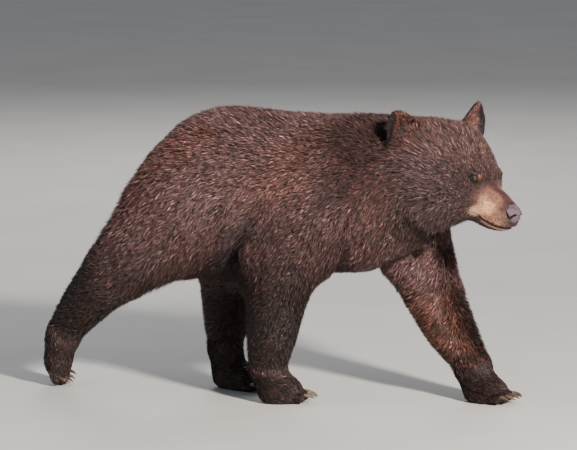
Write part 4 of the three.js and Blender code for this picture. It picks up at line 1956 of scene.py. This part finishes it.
@dataclass(frozen=True)
class HairFinish:
    """Hair: dark at the root, partly painted shade, with the tint of its tuft and paler, duller tips.
    """

    name: str
    roughness: float = 0.72
    polish: float = 0.26  # the roughness of the few tufts that glint
    gloss: float = 0.34
    # how dark the root is: partly the hair's own, partly painted shade between the tufts
    root: float = 0.12
    tip: float = 1.22

    def make(self) -> bpy.types.Material:
        """Wires the material.

        Returns:
            The new material.
        """
        finish = Finish(self.name)
        way = finish.attribute("along").outputs["Fac"]
        chance = finish.attribute("chance").outputs["Fac"]
        along = finish.span(way, self.root, self.tip, 0.0, 0.8)
        strand = finish.strands(finish.attribute("across").outputs["Fac"], way, chance)
        shade = finish.times(along, finish.span(strand, 0.62, 1.38, 0.3, 0.7))
        tint = finish.dimmed(finish.attribute("tint").outputs["Color"], shade)
        finish.link(tint, finish.shader.inputs["Base Color"])
        glossy = finish.span(chance, self.roughness, self.polish, 0.76, 0.96)
        finish.link(glossy, finish.shader.inputs["Roughness"])
        finish.raise_by(strand, 0.0004)
        finish.shade(Specular_IOR_Level=self.gloss)
        return finish.material


@dataclass(frozen=True)
class SkinFinish:
    """Skin with its markings under the coat, dimmed as painted shade under the tufts, finely creased.
    """

    name: str = "skin"

    def make(self) -> bpy.types.Material:
        """Wires the material.

        Returns:
            The new material.
        """
        finish = Finish(self.name)
        grain = finish.noise(900.0, 4.0)
        # the coat's tint at a quarter to seven tenths, as painted shade under the tufts
        shade = finish.span(grain, 0.25, 0.7, 0.3, 0.7)
        tint = finish.dimmed(finish.attribute("tint").outputs["Color"], shade)
        finish.link(tint, finish.shader.inputs["Base Color"])
        finish.raise_by(grain, 0.0006)
        finish.shade(Roughness=0.62, Specular_IOR_Level=0.35)
        return finish.material


@dataclass(frozen=True)
class EyeFinish:
    """A dark brown eye under a wet, clear front."""

    name: str = "eye"

    def make(self) -> bpy.types.Material:
        """Wires the material.

        Returns:
            The new material.
        """
        finish = Finish(self.name)
        out = finish.attribute("out").outputs["Fac"]
        streaks = finish.span(finish.noise(2400.0, 2.0), -0.03, 0.03)
        node = finish.node("ShaderNodeMath", operation="ADD")
        finish.link(out, node.inputs[0])
        finish.link(streaks, node.inputs[1])
        tint = finish.ramped(
            node.outputs[0],
            (0.0, "040202"),
            (0.20, "040202"),
            (0.25, "371c12"),
            (0.44, "5e3520"),
            (0.56, "20120c"),
            (0.70, "2a1a15"),
        )
        finish.link(tint, finish.shader.inputs["Base Color"])
        finish.shade(Roughness=0.2, Specular_IOR_Level=0.3, Coat_Weight=0.7, Coat_Roughness=0.06)
        return finish.material


@dataclass(frozen=True)
class NoseFinish:
    """Pebbled, moist leather, with painted shade in the grooves between pebbles and in the nostrils."""

    name: str = "nose_leather"

    def make(self) -> bpy.types.Material:
        """Wires the material.

        Returns:
            The new material.
        """
        finish = Finish(self.name)
        place = finish.node("ShaderNodeTexCoord")
        cells = finish.node("ShaderNodeTexVoronoi", feature="DISTANCE_TO_EDGE")
        cells.inputs["Scale"].default_value = 1250.0
        finish.link(place.outputs["Object"], cells.inputs["Vector"])
        # painted shade in the grooves between the pebbles
        pebble = finish.span(cells.outputs["Distance"], 0.0, 1.0, 0.0, 0.18)
        tint = finish.ramped(finish.noise(130.0), (0.3, "4f3b41"), (0.55, "6d555d"), (0.75, "8f747c"))
        # painted shade deep in the nostrils
        depth = finish.span(finish.attribute("depth").outputs["Fac"], 1.0, 0.06)
        shade = finish.times(finish.span(pebble, 0.72, 1.0), depth)
        finish.link(finish.dimmed(tint, shade), finish.shader.inputs["Base Color"])
        finish.raise_by(pebble, 0.0003)
        finish.shade(Roughness=0.34, Specular_IOR_Level=0.8)
        return finish.material


@dataclass(frozen=True)
class ClawFinish:
    """Brown horn, finely grained and mottled paler."""

    name: str = "claw_horn"

    def make(self) -> bpy.types.Material:
        """Wires the material.

        Returns:
            The new material.
        """
        finish = Finish(self.name)
        grain = finish.noise(240.0, 4.0)
        tint = finish.ramped(grain, (0.3, "2a1e18"), (0.5, "54412f"), (0.7, "7b624a"))
        finish.link(tint, finish.shader.inputs["Base Color"])
        finish.raise_by(grain, 0.0003)
        finish.shade(Roughness=0.38, Specular_IOR_Level=0.5)
        return finish.material


# ---- Eyes, nose and claws -----------------------------------------------------------------------


@dataclass
class Eye:
    """One eyeball with the bulge of its clear front."""

    socket: EyeSocket
    bulge: float = 1.0
    bulge_angle: float = math.radians(38)

    def build(self) -> bpy.types.Object:
        """Makes the eyeball, with its pole on the gaze.

        Returns:
            The new object.
        """
        shape = bmesh.new()
        bmesh.ops.create_uvsphere(shape, u_segments=48, v_segments=32, radius=self.socket.ball_radius)
        outs = []
        for vert in shape.verts:
            turn = Vector((0, 0, 1)).angle(vert.co)
            swell = max(1 - (turn / self.bulge_angle) ** 2, 0) * self.bulge
            vert.co *= 1 + swell / self.socket.ball_radius
            outs.append(turn / (math.pi / 2))
        set_points(shape.verts, self.socket.world(points_of(shape)))
        bmesh.ops.recalc_face_normals(shape, faces=shape.faces)
        mesh = from_bmesh("eye", shape)
        write_number(mesh, "out", np.array(outs))
        return new_object(f"eyeball_{self.socket.side.value}", mesh)


@dataclass
class Nose:
    """The nose pad: broad wings round two comma nostrils, flush with the bridge, over a groove.

    Its depths are shares of its radii.
    """

    radii: tuple[float, float, float] = NOSE_RADII
    drop: float = 6.0  # how much further down it reaches than up, in millimetres
    lean: float = 0.30  # how its top follows the slope of the bridge
    pit: float = 0.40
    pit_width: float = 0.15
    groove: float = 0.09
    tip: float = 0.10  # how flat its front is
    rim: float = 0.05  # how far the wings swell round the nostrils
    notch: float = 0.10  # how deep it is cut in behind the wings
    comma: tuple[tuple[float, float, float, float], ...] = (
        (0.88, 0.42, 0.18, -0.06),
        (0.80, 0.58, 0.04, -0.03),
        (0.62, 0.72, -0.26, 0.03),
        (0.42, 0.80, -0.42, 0.02),
        (0.26, 0.93, -0.2, 0.01),
        (0.1, 0.99, 0.08, 0.03),
    )  # ways out along the left nostril, and how much narrower it is at each

    def build(self) -> bpy.types.Object:
        """Makes the nose from a fine ball, pressed in and swollen.

        Returns:
            The new object.
        """
        shape = bmesh.new()
        bmesh.ops.create_icosphere(shape, subdivisions=6, radius=1.0)
        ways = points_of(shape)
        x, y, z = ways.T
        front = ramp(x, -0.25, 0.0)
        nostril = self._nostril(ways)
        reach = 1 - self.tip * ramp(x, 0.80, 1.0)
        reach += self.rim * bump(nostril, 0.26, 0.09) * ramp(x, 0.1, 0.4)
        reach -= self.pit * bump(nostril, 0, self.pit_width) * front
        reach -= self.groove * bump(y, 0, 0.06) * ramp(x, 0.2, 0.6) * ramp(z, 0.25, -0.2)
        reach -= self.notch * bump(np.abs(y), 0.85, 0.2) * ramp(z, 0.2, -0.6)
        points = ways * reach[:, None] * self.radii
        points[:, 2] -= self.drop * ramp(z, 0.1, -0.8) + self.lean * points[:, 0] * ramp(z, -0.3, 0.5)
        points[:, 0] -= 4.0 * ramp(z, -0.1, -0.9)
        points[:, 1] *= 1 - 0.22 * ramp(z, -0.3, -1.0)
        points *= 1 - 0.10 * ramp(x, 0.15, -0.3)[:, None]
        set_points(shape.verts, HEAD.world(points + NOSE_MIDDLE))
        every_way = dict.fromkeys(("use_axis_x", "use_axis_y", "use_axis_z"), True)
        bmesh.ops.smooth_vert(shape, verts=shape.verts, factor=0.3, **every_way)
        bmesh.ops.recalc_face_normals(shape, faces=shape.faces)
        mesh = from_bmesh("nose_pad", shape)
        # how deep in a nostril each point lies, which the leather darkens as painted shade
        write_number(mesh, "depth", ramp(nostril, 0.21, 0.09) * front)
        return new_object("nose_pad", mesh)

    def _nostril(self, ways: np.ndarray) -> np.ndarray:
        """How far ways out of the nose are from the comma of the nearer nostril.

        Args:
            ways: unit vectors, one a row.

        Returns:
            One number a way, zero within the comma.
        """
        table = np.array(self.comma)
        spots, narrower = unit(table[:, :3]), table[:, 3]
        left = mirrored(ways)
        nearest = np.full(len(ways), FAR)
        for k in range(len(spots) - 1):
            for t in np.linspace(0, 1, 8):
                spot = spots[k] + (spots[k + 1] - spots[k]) * t
                thin = narrower[k] + (narrower[k + 1] - narrower[k]) * t
                nearest = np.minimum(nearest, np.linalg.norm(left - spot, axis=1) + thin)
        return np.maximum(nearest, 0)


@dataclass
class Claw:
    """One claw, rounded from its solid."""

    node: str
    swell: float = 0.9  # makes up for what the rounding takes away, in millimetres
    tip_share: float = 0.25  # of the swelling, at its base's middle and its tip

    def build(self) -> bpy.types.Object:
        """Merges a copy of the solid, swells it and rounds it.

        Returns:
            The new object.
        """
        shape = to_bmesh(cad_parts[self.node].data)
        bmesh.ops.remove_doubles(shape, verts=shape.verts, dist=MERGE)
        shape.normal_update()
        for vert in shape.verts:
            share = self.tip_share if len(vert.link_edges) > 6 else 1
            vert.co += vert.normal * self.swell * MM * share
        mesh = modified(from_bmesh("claw", shape), "SUBSURF", levels=3, render_levels=3)
        return new_object(self.node.replace("claw", "claw_horn"), mesh)


# ---- The studio ---------------------------------------------------------------------------------


@dataclass
class Studio:
    """A pale floor, soft lights and the camera."""

    aim: tuple[float, float, float] = (0.0047, 0.0025, 0.420)
    azimuth: float = math.radians(22)
    elevation: float = math.radians(8)
    distance: float = 10.0
    lens: float = 260.0
    floor_radius: float = 40.0
    floor_tints: tuple[str, str] = ("c9c6c1", "cfccc7")
    sky_tint: str = "dfe6f2"
    sky_strength: float = 0.32

    def build(self) -> None:
        """Sets the stage."""
        self._floor()
        self._camera()
        self._sky()
        self._light("key", (4.1, -3.25, 2.85), 0.55, 780.0, "fff8f0")
        self._light("fill", (-4.5, -3.0, 2.2), 3.0, 40.0, "dfe8ff")
        self._light("rim", (-2.0, 4.5, 3.6), 2.2, 140.0, "ffffff")

    def _floor(self) -> None:
        """A wide pale disc."""
        shape = bmesh.new()
        bmesh.ops.create_circle(shape, cap_ends=True, segments=96, radius=self.floor_radius)
        floor = new_object("floor", from_bmesh("floor", shape, smooth=False))
        finish = Finish("floor_paint")
        tint = finish.ramped(finish.noise(3.0), *zip((0.3, 0.7), self.floor_tints))
        finish.link(tint, finish.shader.inputs["Base Color"])
        finish.shade(Roughness=0.9, Specular_IOR_Level=0.1)
        floor.data.materials.append(finish.material)

    def _camera(self) -> None:
        """The camera, a long lens a little above the bear's back."""
        data = bpy.data.cameras.new("camera")
        data.lens = self.lens
        data.clip_end = 200
        camera = bpy.data.objects.new("camera", data)
        bpy.context.scene.collection.objects.link(camera)
        flat = math.cos(self.elevation)
        across, back = math.sin(self.azimuth) * flat, -math.cos(self.azimuth) * flat
        away = Vector((across, back, math.sin(self.elevation)))
        camera.location = Vector(self.aim) + away * self.distance
        camera.rotation_euler = (-away).to_track_quat("-Z", "Y").to_euler()
        bpy.context.scene.camera = camera

    def _sky(self) -> None:
        """An even, slightly cool light from all round."""
        world = bpy.data.worlds.new("sky")
        world.use_nodes = True
        background = world.node_tree.nodes["Background"]
        background.inputs["Color"].default_value = (*colour(self.sky_tint), 1)
        background.inputs["Strength"].default_value = self.sky_strength
        bpy.context.scene.world = world

    def _light(
        self, name: str, place: tuple[float, float, float], size: float, power: float, tint: str
    ) -> None:
        """A square soft light, turned to the bear.

        Args:
            name: its name.
            place: where it stands.
            size: its edge, in metres.
            power: in watts.
            tint: its colour in hex.
        """
        data = bpy.data.lights.new(name, "AREA")
        data.size = size
        data.energy = power
        data.color = colour(tint)
        light = bpy.data.objects.new(name, data)
        bpy.context.scene.collection.objects.link(light)
        light.location = place
        light.rotation_euler = (Vector(self.aim) - Vector(place)).to_track_quat("-Z", "Y").to_euler()


# ---- Putting it together ------------------------------------------------------------------------


def dress(thing: bpy.types.Object, slot: Slot, material: bpy.types.Material, *nodes: str) -> None:
    """Gives a piece its material and its body, and hides the CAD nodes that it stands for.

    Args:
        thing: the piece.
        slot: the record's slot; not used.
        material: its finish.
        nodes: the CAD nodes that it replaces.
    """
    thing.data.materials.clear()
    thing.data.materials.append(material)
    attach(thing, BODY)
    if nodes:
        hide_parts(*nodes)
    log.info("%s: %d faces", thing.name, len(thing.data.polygons))


def main() -> None:
    """Builds the bear and its studio."""
    logging.basicConfig(level=logging.INFO, format="%(relativeCreated)7d ms %(message)s")
    anatomy = Anatomy()
    skin = Skin()
    mesh = skin.build(anatomy)
    coat = Coat(mesh, anatomy, skin)
    write_tint(mesh, coat.tint)
    dress(new_object("skin", mesh), Slot.COAT, SkinFinish().make(), *anatomy.names)
    tufts = Tufts(coat)
    finishes = {
        Slot.COAT: HairFinish("hair").make(),
        Slot.LEG_COAT: HairFinish("leg_hair", roughness=0.64, polish=0.17, gloss=0.42).make(),
        Slot.MUZZLE_COAT: HairFinish(
            "muzzle_hair", roughness=0.6, polish=0.5, gloss=0.25, root=0.7, tip=1.4
        ).make(),
    }
    for region in REGIONS:
        for piece in tufts.grow(region):
            dress(piece, region.slot, finishes[region.slot])
    eye_finish = EyeFinish().make()
    for socket in skin.sockets:
        dress(Eye(socket).build(), Slot.EYE, eye_finish, f"eye_{socket.side.value}")
    dress(Nose().build(), Slot.NOSE_PAD, NoseFinish().make(), "nose")
    claw_finish = ClawFinish().make()
    for node in sorted(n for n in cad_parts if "_claw_" in n):
        dress(Claw(node).build(), Slot.CLAW, claw_finish, node)
    Studio().build()


if __name__ == "__main__":
    main()
